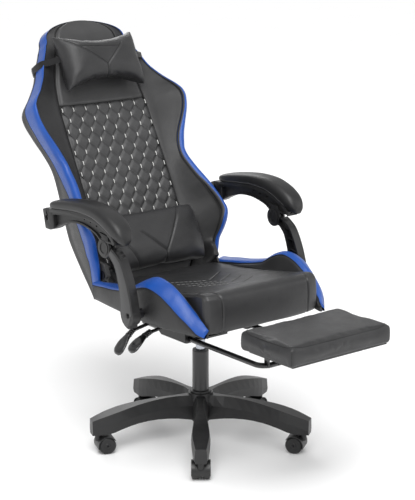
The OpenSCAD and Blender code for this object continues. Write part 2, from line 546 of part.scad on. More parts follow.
star_base();
column_tube();
guide_bush();
thrust_bearing();
caster_stems();
for (i = [1:5]) {
    caster_hood(i);
    caster_axle(i);
    caster_wheels(i);
}
piston_rod();
gas_cylinder();
release_button();
seat_plate();
plate_bolts();
height_lever_rod();
height_lever_handle();
recline_lever_rod();
recline_lever_handle();
lever_bracket();
seat_board();
seat_cushion();
seat_side(1);  // seat_side_left
seat_side(-1);  // seat_side_right
seat_trim();
recliner_plates();
recliner_bolts();
strut_bolts();
footrest_guides();
footrest_covers();
footrest_rails();
footrest_board();
footrest_pad();
arm_strut(1);  // arm_strut_left
arm_strut(-1);  // arm_strut_right
armrest_frame(1);  // armrest_frame_left
armrest_frame(-1);  // armrest_frame_right
armrest_pad(1);  // armrest_pad_left
armrest_pad(-1);  // armrest_pad_right
back_frame();
recliner_arms();
armrest_bolts();
back_cushion();
back_side(1);  // back_side_left
back_side(-1);  // back_side_right
back_trim();
back_panel();
head_pillow();
head_strap();
lumbar_pillow();
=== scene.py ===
import math

import bmesh
import bpy
import numpy as np
from mathutils import Matrix, Vector
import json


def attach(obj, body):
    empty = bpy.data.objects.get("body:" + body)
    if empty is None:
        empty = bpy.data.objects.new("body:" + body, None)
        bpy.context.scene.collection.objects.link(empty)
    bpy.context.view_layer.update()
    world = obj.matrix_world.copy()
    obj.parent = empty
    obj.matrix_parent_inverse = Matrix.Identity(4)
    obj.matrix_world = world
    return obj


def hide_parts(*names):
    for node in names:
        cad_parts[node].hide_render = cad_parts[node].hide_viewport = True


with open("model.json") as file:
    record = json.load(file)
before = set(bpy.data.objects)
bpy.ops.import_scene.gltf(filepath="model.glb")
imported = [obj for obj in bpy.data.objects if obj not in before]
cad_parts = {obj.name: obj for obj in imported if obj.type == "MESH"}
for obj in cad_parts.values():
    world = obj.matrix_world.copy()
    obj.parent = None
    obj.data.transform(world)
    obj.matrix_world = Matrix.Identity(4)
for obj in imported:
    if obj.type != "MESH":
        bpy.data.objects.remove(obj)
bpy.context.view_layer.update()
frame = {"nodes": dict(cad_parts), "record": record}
print("frame loaded")

mm = 0.001
sides = {"Left": 1, "Right": -1}


# shared maths and mesh helpers

def along(pairs, s):  # smooth curve through [s, value] pairs
    p = np.array(pairs, float)
    s = np.asarray(s, float)
    k = np.clip(np.searchsorted(p[:, 0], s, side="right") - 1, 0, len(p) - 2)
    t = np.clip((s - p[k, 0]) / (p[k + 1, 0] - p[k, 0]), 0, 1)
    a, b, c, d = (p[np.clip(k + o, 0, len(p) - 1), 1] for o in (-1, 0, 1, 2))
    return 0.5 * (2 * b + (c - a) * t + (2 * a - 5 * b + 4 * c - d) * t**2
        + (3 * b - a - 3 * c + d) * t**3)


def curveThrough(points, steps):  # a smooth line through points of any dimension
    p = np.array(points, float)
    n = len(p) - 1
    t = np.linspace(0, n, n * steps + 1)
    return np.stack([along(np.stack([np.arange(n + 1), p[:, i]], 1), t) for i in range(p.shape[1])], 1)


def ripple(p, size, seed):  # soft unevenness between -1 and 1, for points in mm
    rng = np.random.default_rng(seed)
    total = np.zeros(p.shape[:-1])
    for _ in range(7):
        d = rng.normal(size=3)
        d /= np.linalg.norm(d)
        total += np.sin(p @ d * (2 * math.pi / size) * rng.uniform(0.6, 1.5) + rng.uniform(0, 6.3))
    return total / 4.5


def groove(distance, width):  # 1 on a seam line, falling to 0 away from it
    return np.exp(-(distance / width) ** 2)


def segmentDistance(x, y, a, b):  # how far each point lies from the line from a to b
    ax, ay = a
    dx, dy = b[0] - ax, b[1] - ay
    t = np.clip(((x - ax) * dx + (y - ay) * dy) / (dx * dx + dy * dy), 0, 1)
    return np.hypot(x - ax - t * dx, y - ay - t * dy)


def meshObject(name, verts, faces, crease=38):
    mesh = bpy.data.meshes.new(name)
    mesh.from_pydata([tuple(v) for v in np.asarray(verts, float).reshape(-1, 3)], [], faces)
    mesh.validate()
    mesh.update()
    obj = bpy.data.objects.new(name, mesh)
    bpy.context.scene.collection.objects.link(obj)
    fixNormals(obj)
    mesh.shade_smooth()
    mesh.set_sharp_from_angle(angle=math.radians(crease))
    return obj


def fixNormals(obj):
    bm = bmesh.new()
    bm.from_mesh(obj.data)
    bmesh.ops.remove_doubles(bm, verts=bm.verts, dist=1e-6)
    bmesh.ops.recalc_face_normals(bm, faces=bm.faces)
    bm.to_mesh(obj.data)
    bm.free()


def gridFaces(rows, cols, closed=False, start=0):
    wrap = cols if closed else cols - 1
    return [[start + r * cols + c, start + r * cols + (c + 1) % cols,
             start + (r + 1) * cols + (c + 1) % cols, start + (r + 1) * cols + c]
            for r in range(rows - 1) for c in range(wrap)]


def tubeMesh(name, rings, crease=38):  # closed skin over equal rings
    rings = np.asarray(rings, float)
    m, k = rings.shape[:2]
    faces = gridFaces(m, k, closed=True)
    faces += [list(range(k)), list(range((m - 1) * k, m * k))]
    return meshObject(name, rings, faces, crease)


def rimOf(rows, cols):  # the grid's outline, once around
    rim = [(0, c) for c in range(cols)] + [(r, cols - 1) for r in range(1, rows)]
    return rim + [(rows - 1, c) for c in range(cols - 2, -1, -1)] + [(r, 0) for r in range(rows - 2, 0,
        -1)]


def backedGrid(name, front, back, crease=38):  # a detailed front sheet, its skirt and a plain back
    m, k = front.shape[:2]
    rim = rimOf(m, k)
    skirt = np.array([back[r, c] for r, c in rim])
    faces = gridFaces(m, k)
    base = m * k
    n = len(rim)
    for i in range(n):
        a, b = rim[i], rim[(i + 1) % n]
        faces.append([a[0] * k + a[1], b[0] * k + b[1], base + (i + 1) % n, base + i])
    faces.append([base + i for i in range(n)])
    return meshObject(name, np.vstack([front.reshape(-1, 3), skirt]), faces, crease)


def sweep(name, path, radius, sides=10, flat=1.0, up=(0, 0, 1)):  # a round or oval strand along a path
    path = np.asarray(path, float)
    rings = []
    for i, p in enumerate(path):
        d = path[min(i + 1, len(path) - 1)] - path[max(i - 1, 0)]
        d /= np.linalg.norm(d)
        u = np.cross(d, up)
        u /= np.linalg.norm(u)
        v = np.cross(u, d)
        a = np.linspace(0, 2 * math.pi, sides, endpoint=False)
        rings.append(p + radius * (np.cos(a)[:, None] * u + flat * np.sin(a)[:, None] * v))
    return tubeMesh(name, rings)


def joined(name, objs):
    with bpy.context.temp_override(active_object=objs[0], selected_editable_objects=objs):
        bpy.ops.object.join()
    objs[0].name = name
    return objs[0]


def bevelled(obj, width, segments=3, angle=30):
    mod = obj.modifiers.new("Bevel", "BEVEL")
    mod.width = width * mm
    mod.segments = segments
    mod.limit_method = "ANGLE"
    mod.angle_limit = math.radians(angle)
    applyModifiers(obj)
    return obj


def applyModifiers(obj):
    deps = bpy.context.evaluated_depsgraph_get()
    mesh = bpy.data.meshes.new_from_object(obj.evaluated_get(deps))
    old = obj.data
    obj.modifiers.clear()
    obj.data = mesh
    bpy.data.meshes.remove(old)


def plate(name, outline, x0, x1, holes=(), bevel=2.0):  # an outline in the Y-Z plane, thickened along X
    curve = bpy.data.curves.new(name, "CURVE")
    curve.dimensions = "2D"
    curve.fill_mode = "BOTH"
    curve.extrude = abs(x1 - x0) / 2 * mm
    curve.bevel_depth = 0
    for ring in [outline, *holes]:
        spline = curve.splines.new("POLY")
        spline.points.add(len(ring) - 1)
        for p, (y, z) in zip(spline.points, ring):
            p.co = (y * mm, z * mm, 0, 1)
        spline.use_cyclic_u = True
    temp = bpy.data.objects.new(name, curve)
    bpy.context.scene.collection.objects.link(temp)
    mesh = bpy.data.meshes.new_from_object(temp.evaluated_get(bpy.context.evaluated_depsgraph_get()))
    bpy.data.objects.remove(temp)
    bpy.data.curves.remove(curve)
    mesh.transform(Matrix(((0, 0, 1, (x0 + x1) / 2 * mm), (1, 0, 0, 0), (0, 1, 0, 0), (0, 0, 0, 1))))
    obj = bpy.data.objects.new(name, mesh)
    bpy.context.scene.collection.objects.link(obj)
    fixNormals(obj)
    if bevel:
        bevelled(obj, bevel)
    obj.data.shade_smooth()
    obj.data.set_sharp_from_angle(angle=math.radians(40))
    return obj


def mirroredX(obj):
    obj.data.transform(Matrix.Scale(-1, 4, (1, 0, 0)))
    obj.data.flip_normals()
    return obj


def settle(obj, body, slotName, material, *nodes, padded=None):
    obj.data.materials.clear()
    obj.data.materials.append(material)
    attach(obj, body)
    if nodes:
        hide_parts(*nodes)
    return obj


def inflate(obj, pressure, cap, voxel=5):  # stuffs a closed form with Blender's cloth
    bpy.context.view_layer.objects.active = obj
    remesh = obj.modifiers.new("Remesh", "REMESH")
    remesh.mode = "VOXEL"
    remesh.voxel_size = voxel * mm
    applyModifiers(obj)
    rest = np.array([v.co for v in obj.data.vertices])
    cloth = obj.modifiers.new("Cloth", "CLOTH")
    cloth.settings.quality = 5
    cloth.settings.mass = 0.4
    cloth.settings.tension_stiffness = 25
    cloth.settings.compression_stiffness = 12
    cloth.settings.bending_stiffness = 3
    cloth.settings.use_pressure = True
    cloth.settings.uniform_pressure_force = pressure
    cloth.settings.effector_weights.gravity = 0
    cloth.collision_settings.use_collision = False
    cloth.point_cache.frame_start = 1
    cloth.point_cache.frame_end = 20
    for f in range(1, 21):
        bpy.context.scene.frame_set(f)
    got = obj.evaluated_get(bpy.context.evaluated_depsgraph_get())
    moved = np.array([v.co for v in got.data.vertices]) - rest
    obj.modifiers.clear()
    bpy.context.scene.frame_set(1)
    far = np.linalg.norm(moved, axis=1, keepdims=True)
    moved *= np.minimum(1, cap * mm / np.maximum(far, 1e-9))
    for v, co in zip(obj.data.vertices, rest + moved):
        v.co = co
    sub = obj.modifiers.new("Subdivision", "SUBSURF")
    sub.levels = sub.render_levels = 1
    applyModifiers(obj)
    obj.data.shade_smooth()
    return obj


def reshape(obj, change):  # change gets points and outward normals in mm, and gives the new points
    pts = np.array([v.co for v in obj.data.vertices]) / mm
    nor = np.array([v.normal for v in obj.data.vertices])
    for v, co in zip(obj.data.vertices, change(pts, nor) * mm):
        v.co = co
    obj.data.update()
    return obj


# materials

class Val:  # one number travelling between nodes
    def __init__(self, shade, out):
        self.shade = shade
        self.out = out

    def maths(self, kind, *values):
        return self.shade.node("ShaderNodeMath", {"operation": kind}, *values)

    def __add__(self, other):
        return self.maths("ADD", self, other)

    def __radd__(self, other):
        return self.maths("ADD", other, self)

    def __sub__(self, other):
        return self.maths("SUBTRACT", self, other)

    def __rsub__(self, other):
        return self.maths("SUBTRACT", other, self)

    def __mul__(self, other):
        return self.maths("MULTIPLY", self, other)

    def __rmul__(self, other):
        return self.maths("MULTIPLY", other, self)

    def __truediv__(self, other):
        return self.maths("DIVIDE", self, other)

    def __rtruediv__(self, other):
        return self.maths("DIVIDE", other, self)

    def __pow__(self, other):
        return self.maths("POWER", self, other)

    def __rpow__(self, other):
        return self.maths("POWER", other, self)

    def between(self, low, high):
        return self.shade.node("ShaderNodeMapRange", {"clamp": True}, self, low, high, 0.0, 1.0)


class Shade:  # a material and the few ways of adding to it
    def __init__(self, name, **fixed):
        self.mat = bpy.data.materials.new(name)
        self.mat.use_nodes = True
        self.tree = self.mat.node_tree
        self.bsdf = self.tree.nodes["Principled BSDF"]
        for socket, value in fixed.items():
            self.bsdf.inputs[socket.replace("_", " ")].default_value = value
        self.place = self.node("ShaderNodeTexCoord", {}, output="Object")

    def node(self, kind, settings, *values, output=0, **named):
        n = self.tree.nodes.new(kind)
        for key, value in settings.items():
            setattr(n, key, value)
        for i, value in enumerate(values):
            self.feed(n.inputs[i], value)
        for key, value in named.items():
            self.feed(n.inputs[key.replace("_", " ")], value)
        return Val(self, n.outputs[output])

    def feed(self, socket, value):
        if isinstance(value, Val):
            self.tree.links.new(value.out, socket)
        else:
            socket.default_value = value

    def noise(self, scale, detail=2.0, rough=0.5):
        return self.node("ShaderNodeTexNoise", {}, Vector=self.place, Scale=scale, Detail=detail,
            Roughness=rough)

    def cells(self, scale, feature="F1"):
        return self.node("ShaderNodeTexVoronoi", {"feature": feature}, Vector=self.place, Scale=scale)

    def mix(self, amount, a, b):
        n = self.tree.nodes.new("ShaderNodeMix")
        n.data_type = "RGBA"
        for i, value in zip((0, 6, 7), (amount, a, b)):
            self.feed(n.inputs[i], value)
        return Val(self, n.outputs[2])

    def set(self, socket, value):
        self.feed(self.bsdf.inputs[socket], value)

    def bump(self, height, strength, distance, under=None):
        n = {"Strength": strength, "Distance": distance, "Height": height}
        if under:
            n["Normal"] = under
        return self.node("ShaderNodeBump", {}, **n)


def colour(r, g, b):
    return (r, g, b, 1.0)


def leather(name, base, pale, rough, grain=0.35, sheen=0.0):
    s = Shade(name, Specular_IOR_Level=0.5, Sheen_Weight=sheen, Sheen_Roughness=0.5)
    pores = s.cells(620, "DISTANCE_TO_EDGE")
    fine = s.noise(1500, 3.0, 0.6)
    patches = s.noise(9, 3.0, 0.6)
    smudge = s.noise(38, 2.0, 0.5)
    s.set("Base Color", s.mix(patches.between(0.35, 0.7), colour(*base), colour(*pale)))
    s.set("Roughness", rough + (smudge - 0.5) * 0.16 + (patches - 0.5) * 0.08)
    pebbles = pores.between(0.0, 0.28) * 0.8 + fine * 0.25
    broad = s.bump(s.noise(60, 2.0, 0.5), 0.12, 0.0025)
    s.set("Normal", s.bump(pebbles, grain, 0.00035, broad))
    return s.mat


def mouldedPlastic(name, base, rough, grainScale=900, grain=0.25, coat=0.0):
    s = Shade(name, Specular_IOR_Level=0.5, Coat_Weight=coat, Coat_Roughness=0.15)
    grains = s.noise(grainScale, 3.0, 0.6)
    wide = s.noise(14, 3.0, 0.6)
    paler = tuple(c * 1.35 + 0.004 for c in base)
    s.set("Base Color", s.mix(wide.between(0.3, 0.75), colour(*base), colour(*paler)))
    s.set("Roughness", rough + (wide - 0.5) * 0.15 + (grains - 0.5) * 0.1)
    s.set("Normal", s.bump(grains, grain, 0.0003))
    return s.mat


def metal(name, base, rough, brushed=0.0):
    s = Shade(name, Metallic=1.0)
    drift = s.noise(30, 2.0, 0.5)
    s.set("Base Color", s.mix(drift.between(0.3, 0.7), colour(*base), colour(*[c * 0.9 for c in base])))
    s.set("Roughness", rough + (drift - 0.5) * 0.1)
    s.set("Normal", s.bump(s.noise(700, 2.0, 0.6), 0.05 + brushed, 0.0002))
    return s.mat


def paintedSteel(name, base, rough):
    s = Shade(name, Specular_IOR_Level=0.5, Coat_Weight=0.3, Coat_Roughness=0.12)
    peel = s.noise(260, 2.0, 0.5)
    wide = s.noise(20, 2.0, 0.5)
    s.set("Base Color", s.mix(wide.between(0.3, 0.7), colour(*base), colour(*[c * 1.3 for c in base])))
    s.set("Roughness", rough + (wide - 0.5) * 0.1)
    s.set("Normal", s.bump(peel, 0.12, 0.0004))
    return s.mat


def weave(name, base, pale, rough, pitch):
    s = Shade(name, Specular_IOR_Level=0.25, Sheen_Weight=0.25, Sheen_Roughness=0.4)
    waves = []
    for way in ("X", "Z"):
        waves.append(s.node("ShaderNodeTexWave", {"bands_direction": way}, Vector=s.place,
                            Scale=1 / (pitch * mm * 6.28), Distortion=0.6, Detail=1.0))
    cloth = waves[0] * waves[1]
    s.set("Base Color", s.mix(cloth + s.noise(40) * 0.3, colour(*base), colour(*pale)))
    s.set("Roughness", rough + (s.noise(40) - 0.5) * 0.1)
    s.set("Normal", s.bump(cloth, 0.5, 0.0005))
    return s.mat


def plywood(name):
    s = Shade(name, Specular_IOR_Level=0.3)
    rings = s.node("ShaderNodeTexWave", {"bands_direction": "Z"}, Vector=s.place, Scale=220,
        Distortion=2.0)
    grainLine = s.noise(90, 4.0, 0.6)
    s.set("Base Color", s.mix(rings * 0.5 + grainLine * 0.5, colour(0.42, 0.28, 0.14),
        colour(0.62, 0.46, 0.27)))
    s.set("Roughness", 0.6 + (grainLine - 0.5) * 0.1)
    s.set("Normal", s.bump(grainLine, 0.2, 0.0005))
    return s.mat


blackLeather = leather("blackLeather", (0.017, 0.017, 0.018), (0.026, 0.026, 0.027), 0.40, 0.4)
# The quilt leather is the black leather painted lighter (painted light on the front-facing quilt), and
# the side leather is the same leather painted darker (painted shade on the bolsters).
litQuiltLeather = leather("litQuiltLeather", (0.036, 0.036, 0.037), (0.050, 0.050, 0.051), 0.47, 0.35)
shadedSideLeather = leather("shadedSideLeather", (0.015, 0.015, 0.0155), (0.023, 0.023, 0.024), 0.47, 0.35)
blueLeather = leather("blueLeather", (0.001, 0.054, 0.29), (0.003, 0.074, 0.38), 0.38, sheen=0.04)
# seamShadow is near-black leather for strands of painted shade laid along the seam grooves.
seamShadow = leather("seamShadow", (0.003, 0.003, 0.003), (0.006, 0.006, 0.006), 0.7)
whiteThread = weave("whiteThread", (0.62, 0.62, 0.60), (0.85, 0.85, 0.83), 0.6, 0.5)
greyThread = weave("greyThread", (0.13, 0.13, 0.13), (0.22, 0.22, 0.22), 0.6, 0.5)
basePlastic = mouldedPlastic("basePlastic", (0.0085, 0.0085, 0.009), 0.40, 700, 0.35)
wheelPlastic = mouldedPlastic("wheelPlastic", (0.0065, 0.0065, 0.007), 0.42)
blackPlastic = mouldedPlastic("blackPlastic", (0.0085, 0.0085, 0.009), 0.42, 800, 0.4)
handlePlastic = mouldedPlastic("handlePlastic", (0.0035, 0.0035, 0.004), 0.2, 900, 0.08, 0.6)
strutPlastic = mouldedPlastic("strutPlastic", (0.034, 0.034, 0.035), 0.42, 620, 0.6)
armFoam = mouldedPlastic("armFoam", (0.0075, 0.0075, 0.008), 0.44, 1100, 0.45)
columnSteel = paintedSteel("columnSteel", (0.009, 0.009, 0.0095), 0.38)
blackSteel = paintedSteel("blackSteel", (0.004, 0.004, 0.0045), 0.16)
brightSteel = metal("brightSteel", (0.42, 0.44, 0.48), 0.14)
zincSteel = metal("zincSteel", (0.35, 0.36, 0.38), 0.35, 0.1)
darkSteel = metal("darkSteel", (0.05, 0.05, 0.055), 0.4, 0.1)
redPlastic = mouldedPlastic("redPlastic", (0.45, 0.03, 0.02), 0.35)
elasticBand = weave("elasticBand", (0.006, 0.006, 0.0065), (0.016, 0.016, 0.017), 0.75, 0.9)
rearCloth = leather("rearCloth", (0.012, 0.012, 0.0125), (0.018, 0.018, 0.019), 0.5)
boardWood = plywood("boardWood")
print("materials made")


# the leaning frame of the backrest

lean = math.radians(28)
backFoot = (190, 450)


def onBack(x, n, s):  # across, towards the sitter, up the slope
    x, n, s = np.broadcast_arrays(np.asarray(x, float), n, s)
    y = backFoot[0] + s * math.sin(lean) - n * math.cos(lean)
    z = backFoot[1] + s * math.cos(lean) + n * math.sin(lean)
    return np.stack([x, y, z], -1) * mm


dome = {"foot": 780, "rise": 62, "top": 842}
rearFace = -64
rearEdge = -52


def backRows(count, low=-8.0):  # rows up the back, closing over the top like a dome
    flank = np.linspace(low, dome["foot"], int(count * 0.8), endpoint=False)
    crown = dome["foot"] + dome["rise"] * np.sin(np.linspace(0, math.pi / 2 * 0.985, count - len(flank)))
    return np.concatenate([flank, crown])


backShape = {
    "outline": [[-10, 208], [40, 212], [90, 219], [150, 226], [190, 228], [310, 220], [390, 217],
        [440, 229], [500, 252], [550, 267], [580, 262], [620, 229], [664, 197], [714, 174], [763, 150],
        [780, 141]],
    "wing": [[-10, -34], [50, -20], [90, 14], [130, 68], [170, 86], [210, 74], [280, 28], [350, -4],
        [400, -4], [450, 14], [520, 38], [570, 34], [620, 12], [680, -4], [760, -10], [800, -14],
        [842, -28]],
    "front": [[-10, -30], [60, -22], [300, -20], [560, -22], [640, -22], [720, -14], [790, -10],
        [842, -24]],
    "panel": [[-10, 120], [60, 156], [560, 156], [640, 146], [714, 128], [763, 112], [780, 106]],
}


def halfWidth(key, s):
    flank = along(backShape[key], np.minimum(s, dome["foot"]))
    top = np.sqrt(np.clip(1 - (np.maximum(s - dome["foot"], 0) / dome["rise"]) ** 2, 0, 1))
    return flank * top


quilt = {"pitch": 312 / 7, "row": 33.7, "top": 574, "bottom": 64, "puff": 6.5, "threadLength": 12}


def quiltSeams(x, s):  # distance from the wavy seams; neighbours touch at every stitch
    phase = 0.25 * (1 - np.cos(math.pi * (quilt["top"] - 14 - s) / quilt["row"]))
    u = x / quilt["pitch"] + 0.5
    a = np.abs((u - phase + 0.5) % 1 - 0.5)
    b = np.abs((u + phase + 0.5) % 1 - 0.5)
    slope = 0.25 * math.pi * quilt["pitch"] / quilt["row"]
    tilt = np.hypot(1, slope * np.sin(math.pi * (quilt["top"] - 14 - s) / quilt["row"]))
    return np.minimum(a, b) * quilt["pitch"] / tilt


def buildBackCushion():
    rows = backRows(330)
    v = np.linspace(-1, 1, 125)
    s = rows[:, None] + 0 * v
    w = halfWidth("panel", s)
    x = w * v
    base = along(backShape["front"], np.minimum(s, dome["top"]))
    n = base + 5 * v**2 - 9 * groove(w - np.abs(x), 7)
    inside = ((s < quilt["top"]) & (s > quilt["bottom"])).astype(float)
    d = quiltSeams(x, s)
    n += inside * (quilt["puff"] * (1 - np.exp(-(d / 4.6) ** 1.2)) - 3.5)
    n -= 5 * groove(s - quilt["top"], 3.2) + 3 * groove(s - quilt["bottom"], 4)
    n += (1 - inside) * 1.2 * ripple(np.stack([x, 0 * x, s], -1), 170, 3)
    obj = backedGrid("backCushionCover", onBack(x, n, s), onBack(x, np.full_like(s, rearFace), s), 60)
    # the cover takes the black leather copy painted lighter, as painted light
    settle(obj, "back", "black_leather", litQuiltLeather, "back_cushion", padded=0.8)
    stitches = []
    count = 0
    for j in range(16):
        row = quilt["top"] - 14 - j * quilt["row"]
        if row < quilt["bottom"] + 5:
            continue
        shift = 0.5 if j % 2 else 0
        for i in range(-4, 5):
            cx = (i + 0.5 + shift) * quilt["pitch"]
            if abs(cx) > 153:
                cx = math.copysign(152, cx) if abs(cx) < 158 else None
            if cx is None:
                continue
            half = quilt["threadLength"] / 2
            nn = float(along(backShape["front"], row)) + 5 * (cx / 156) ** 2 - 1.9
            spots = ((-half, -1.4), (-half * 0.6, 0), (half * 0.6, 0), (half, -1.4))
            ends = [onBack(cx, nn + dn, row + ds) for ds, dn in spots]
            stitches.append(sweep(f"stitch{count}", ends, 1.25 * mm, 6, up=(1, 0, 0)))
            count += 1
    settle(joined("quiltStitches", stitches), "back", "white_thread", whiteThread)
    # Dark strands of painted shade along the quilt seams, the quilt ends and the panel edges.
    lines = []
    ss = np.linspace(quilt["bottom"], quilt["top"], 190)
    wave = 0.25 * (1 - np.cos(math.pi * (quilt["top"] - 14 - ss) / quilt["row"]))
    for i in range(-5, 5):
        for way in (-1, 1):
            xs = (i + 0.5 + way * wave) * quilt["pitch"]
            ok = np.abs(xs) < 155
            runs = np.split(np.arange(len(ss)), np.where(np.diff(ok.astype(int)) != 0)[0] + 1)
            for run in runs:
                if ok[run[0]] and len(run) > 3:
                    x, sv = xs[run], ss[run]
                    n = along(backShape["front"], sv) + 5 * (x / 156) ** 2 - 3.3
                    lines.append(seamShadeLine(f"quiltSeam{i}{way}{run[0]}", onBack(x, n, sv), 0.95))
    across = np.linspace(-155, 155, 40)
    for sv, drop in ((quilt["top"], 4.5), (quilt["bottom"], 3)):
        n = along(backShape["front"], sv) + 5 * (across / 156) ** 2 - drop
        lines.append(seamShadeLine(f"quiltEndShade{sv}", onBack(across, n, sv), 1.6))
    for sign in (-1, 1):
        sv = np.linspace(40, 830, 120)
        x = halfWidth("panel", sv) + 0.5
        n = along(backShape["front"], sv) - 2.5
        lines.append(seamShadeLine(f"panelShadeLine{sign}", onBack(sign * x, n, sv), 1.9))
    settle(joined("quiltSeams", lines), "back", "black_leather", seamShadow)


trimShape = {  # the inner seam, the crest and how far back the blue goes
    "rim": [[-10, 213], [40, 223], [85, 234], [110, 246], [135, 254], [160, 259], [185, 259], [210, 256],
        [235, 251], [260, 244], [285, 239], [310, 233], [335, 229], [360, 226], [385, 225], [410, 233],
        [435, 241], [460, 251], [485, 261], [510, 270], [535, 275], [560, 275], [582, 266], [620, 231],
        [664, 199], [714, 176], [763, 152], [780, 142]],
    "seamX": [[-10, 208.5], [40, 209], [85, 210], [110, 219], [135, 227], [160, 236], [185, 240],
        [210, 237], [235, 229], [260, 220], [285, 212], [310, 207], [335, 203], [360, 201], [385, 202],
        [410, 207], [435, 215], [460, 227], [485, 241], [510, 253], [535, 261], [560, 263], [582, 256],
        [620, 224], [664, 193], [714, 171], [763, 147], [780, 138]],
    "seamN": [[-10, -28], [20, -4], [40, 9], [60, 20], [85, 29], [110, 48], [135, 66], [160, 70],
        [185, 62], [210, 56], [235, 52], [260, 48], [285, 39], [310, 30], [335, 20], [360, 10], [385, 6],
        [410, 3], [435, 3], [460, 6], [485, 10], [510, 15], [535, 20], [560, 22], [600, 15], [640, 3],
        [680, -6], [760, -12], [800, -17], [842, -30]],
    "crest": [[-10, -24], [20, 2], [40, 16], [60, 27], [85, 39], [110, 62], [135, 80], [160, 86],
        [185, 79], [210, 72], [235, 66], [260, 60], [285, 50], [310, 40], [335, 30], [360, 20], [385, 15],
        [410, 13], [435, 14], [460, 17], [485, 21], [510, 26], [535, 30], [560, 32], [600, 23], [640, 8],
        [680, -3], [760, -9], [800, -13], [842, -27]],
    "rear": [[-10, -52], [40, -24], [85, 8], [110, 20], [135, 32], [160, 38], [185, 40], [210, 32],
        [235, 30], [260, 22], [285, 10], [310, -4], [335, -17], [360, -27], [385, -37], [410, -38],
        [460, -40], [510, -34], [560, -34], [620, -48], [842, -52]],
}


def rimLine(s):  # panel edge, seam, crest and the flank below it at height s up the back
    got = {}
    for key, pairs in trimShape.items():
        end = dome["foot"] if key in ("rim", "seamX") else dome["top"]
        got[key] = float(along(pairs, min(s, end)))
    top = math.sqrt(max(1 - (max(s - dome["foot"], 0) / dome["rise"]) ** 2, 0))
    w = float(halfWidth("panel", s)) + 0.6
    ow = max(got["rim"] * top, w + 6)
    sx = min(max(got["seamX"] * top, w + 2), ow - 3)
    sn, c = got["seamN"], got["crest"]
    low = max(float(halfWidth("outline", s)), w + 5)
    k = ow - sx
    crest = [[sx, sn], [sx + 0.2 * k, sn + 0.62 * (c - sn)], [sx + 0.45 * k, c - 0.4],
        [ow - 0.28 * k, c - 1.6], [ow - 0.08 * k, c - 6], [ow, c - 14]]

    def flank(n):
        return low + (ow - low) * min(max((n - rearEdge) / (c - 14 - rearEdge), 0), 1) ** 0.8
    return w, (sx, sn), crest, flank, min(got["rear"], c - 18)


def buildBackSides():
    rows = backRows(170)
    for side, sign in sides.items():
        rings = []
        for s in rows:
            w, (sx, sn), crest, flank, rear = rimLine(s)
            f = float(along(backShape["front"], min(s, dome["top"])))
            inner = [[w, f - 12], [w + 1, f - 3]]
            for t in (0.12, 0.25, 0.4, 0.55, 0.7, 0.85):
                rise = t ** (1.3 if sn > f else 1.0)
                inner.append([w + 1 + (sx - w - 1) * t, f + (sn - 0.8 - f) * rise])
            outer = [[x - 2.5, n - 1.8] for x, n in crest[1:]]
            heights = (rear * 0.6 + crest[-1][1] * 0.4, rear - 6, (rear + rearEdge) / 2)
            outer += [[flank(n) - 1.6, n] for n in heights]
            outer.append([flank(rearEdge) - 2, rearEdge])
            line = curveThrough(inner + [[sx, sn - 0.8]] + outer, 3)
            p = np.stack([line[:, 0], line[:, 1], np.full(len(line), s)], -1)
            line[:, 1] += 1.0 * ripple(p, 150, 11) * (line[:, 1] > -40) * (line[:, 0] < sx - 4)
            boss = np.clip((line[:, 0] - 181) / 12, 0, 1) * np.clip((sx - 0.5 - line[:, 0]) / 2, 0, 1)
            boss *= min(max((s - 18) / 14, 0), 1) * min(max((92 - s) / 26, 0), 1)
            # covers the recliner
            line[:, 1] += np.maximum(39 - line[:, 1], 0) * boss * boss * (3 - 2 * boss)
            ring = np.vstack([[[w, rearFace]], line, [[flank(rearEdge) - 3, rearFace]]])
            rings.append(onBack(ring[:, 0] * sign, ring[:, 1], s))
        obj = tubeMesh(f"backSide{side}Cover", rings, 50)
        # the bolster covers take the black leather copy painted darker, as painted shade
        settle(obj, "back", "black_leather", shadedSideLeather, f"back_side_{side.lower()}", padded=0.8)


def buildBackTrims():
    rows = backRows(170)
    parts = []
    seams = []
    for side, sign in sides.items():
        rings = []
        inner = []
        outer = []
        for s in rows:
            (sx, sn), crest, flank, rear = rimLine(s)[1:]
            low = crest[-1][1]
            heights = [low + (rear - low) * share for share in (0.35, 0.7, 1)]
            skin = curveThrough([*crest, *[[flank(n) + 0.6, n] for n in heights]], 3)
            skin[:, 0] += 0.6
            skin[:, 1] += 0.5
            hidden = np.array([[flank(rear) - 4, rear - 0.5], [flank(low) - 6, low - 4],
                [sx + 0.5 * (crest[-1][0] - sx), crest[2][1] - 7], [sx + 1.5, sn - 4]])
            ring = np.vstack([skin, hidden])
            rings.append(onBack(ring[:, 0] * sign, ring[:, 1], s))
            # inner and outer trace dark strands of painted shade along the trim's seam and rear hem.
            inner.append(onBack((sx - 0.4) * sign, sn + 0.2, s))
            outer.append(onBack((flank(rear) + 0.4) * sign, rear - 0.4, s))
        parts.append(tubeMesh(f"trim{side}", rings, 50))
        seams += [seamShadeLine(f"trimShadeLine{side}", inner, 1.5), seamShadeLine(f"trimHemShade{side}", outer, 1.3)]
    settle(joined("backTrimBlue", parts), "back", "blue_leather", blueLeather, "back_trim")
    settle(joined("backTrimShadeLines", seams), "back", "black_leather", seamShadow)


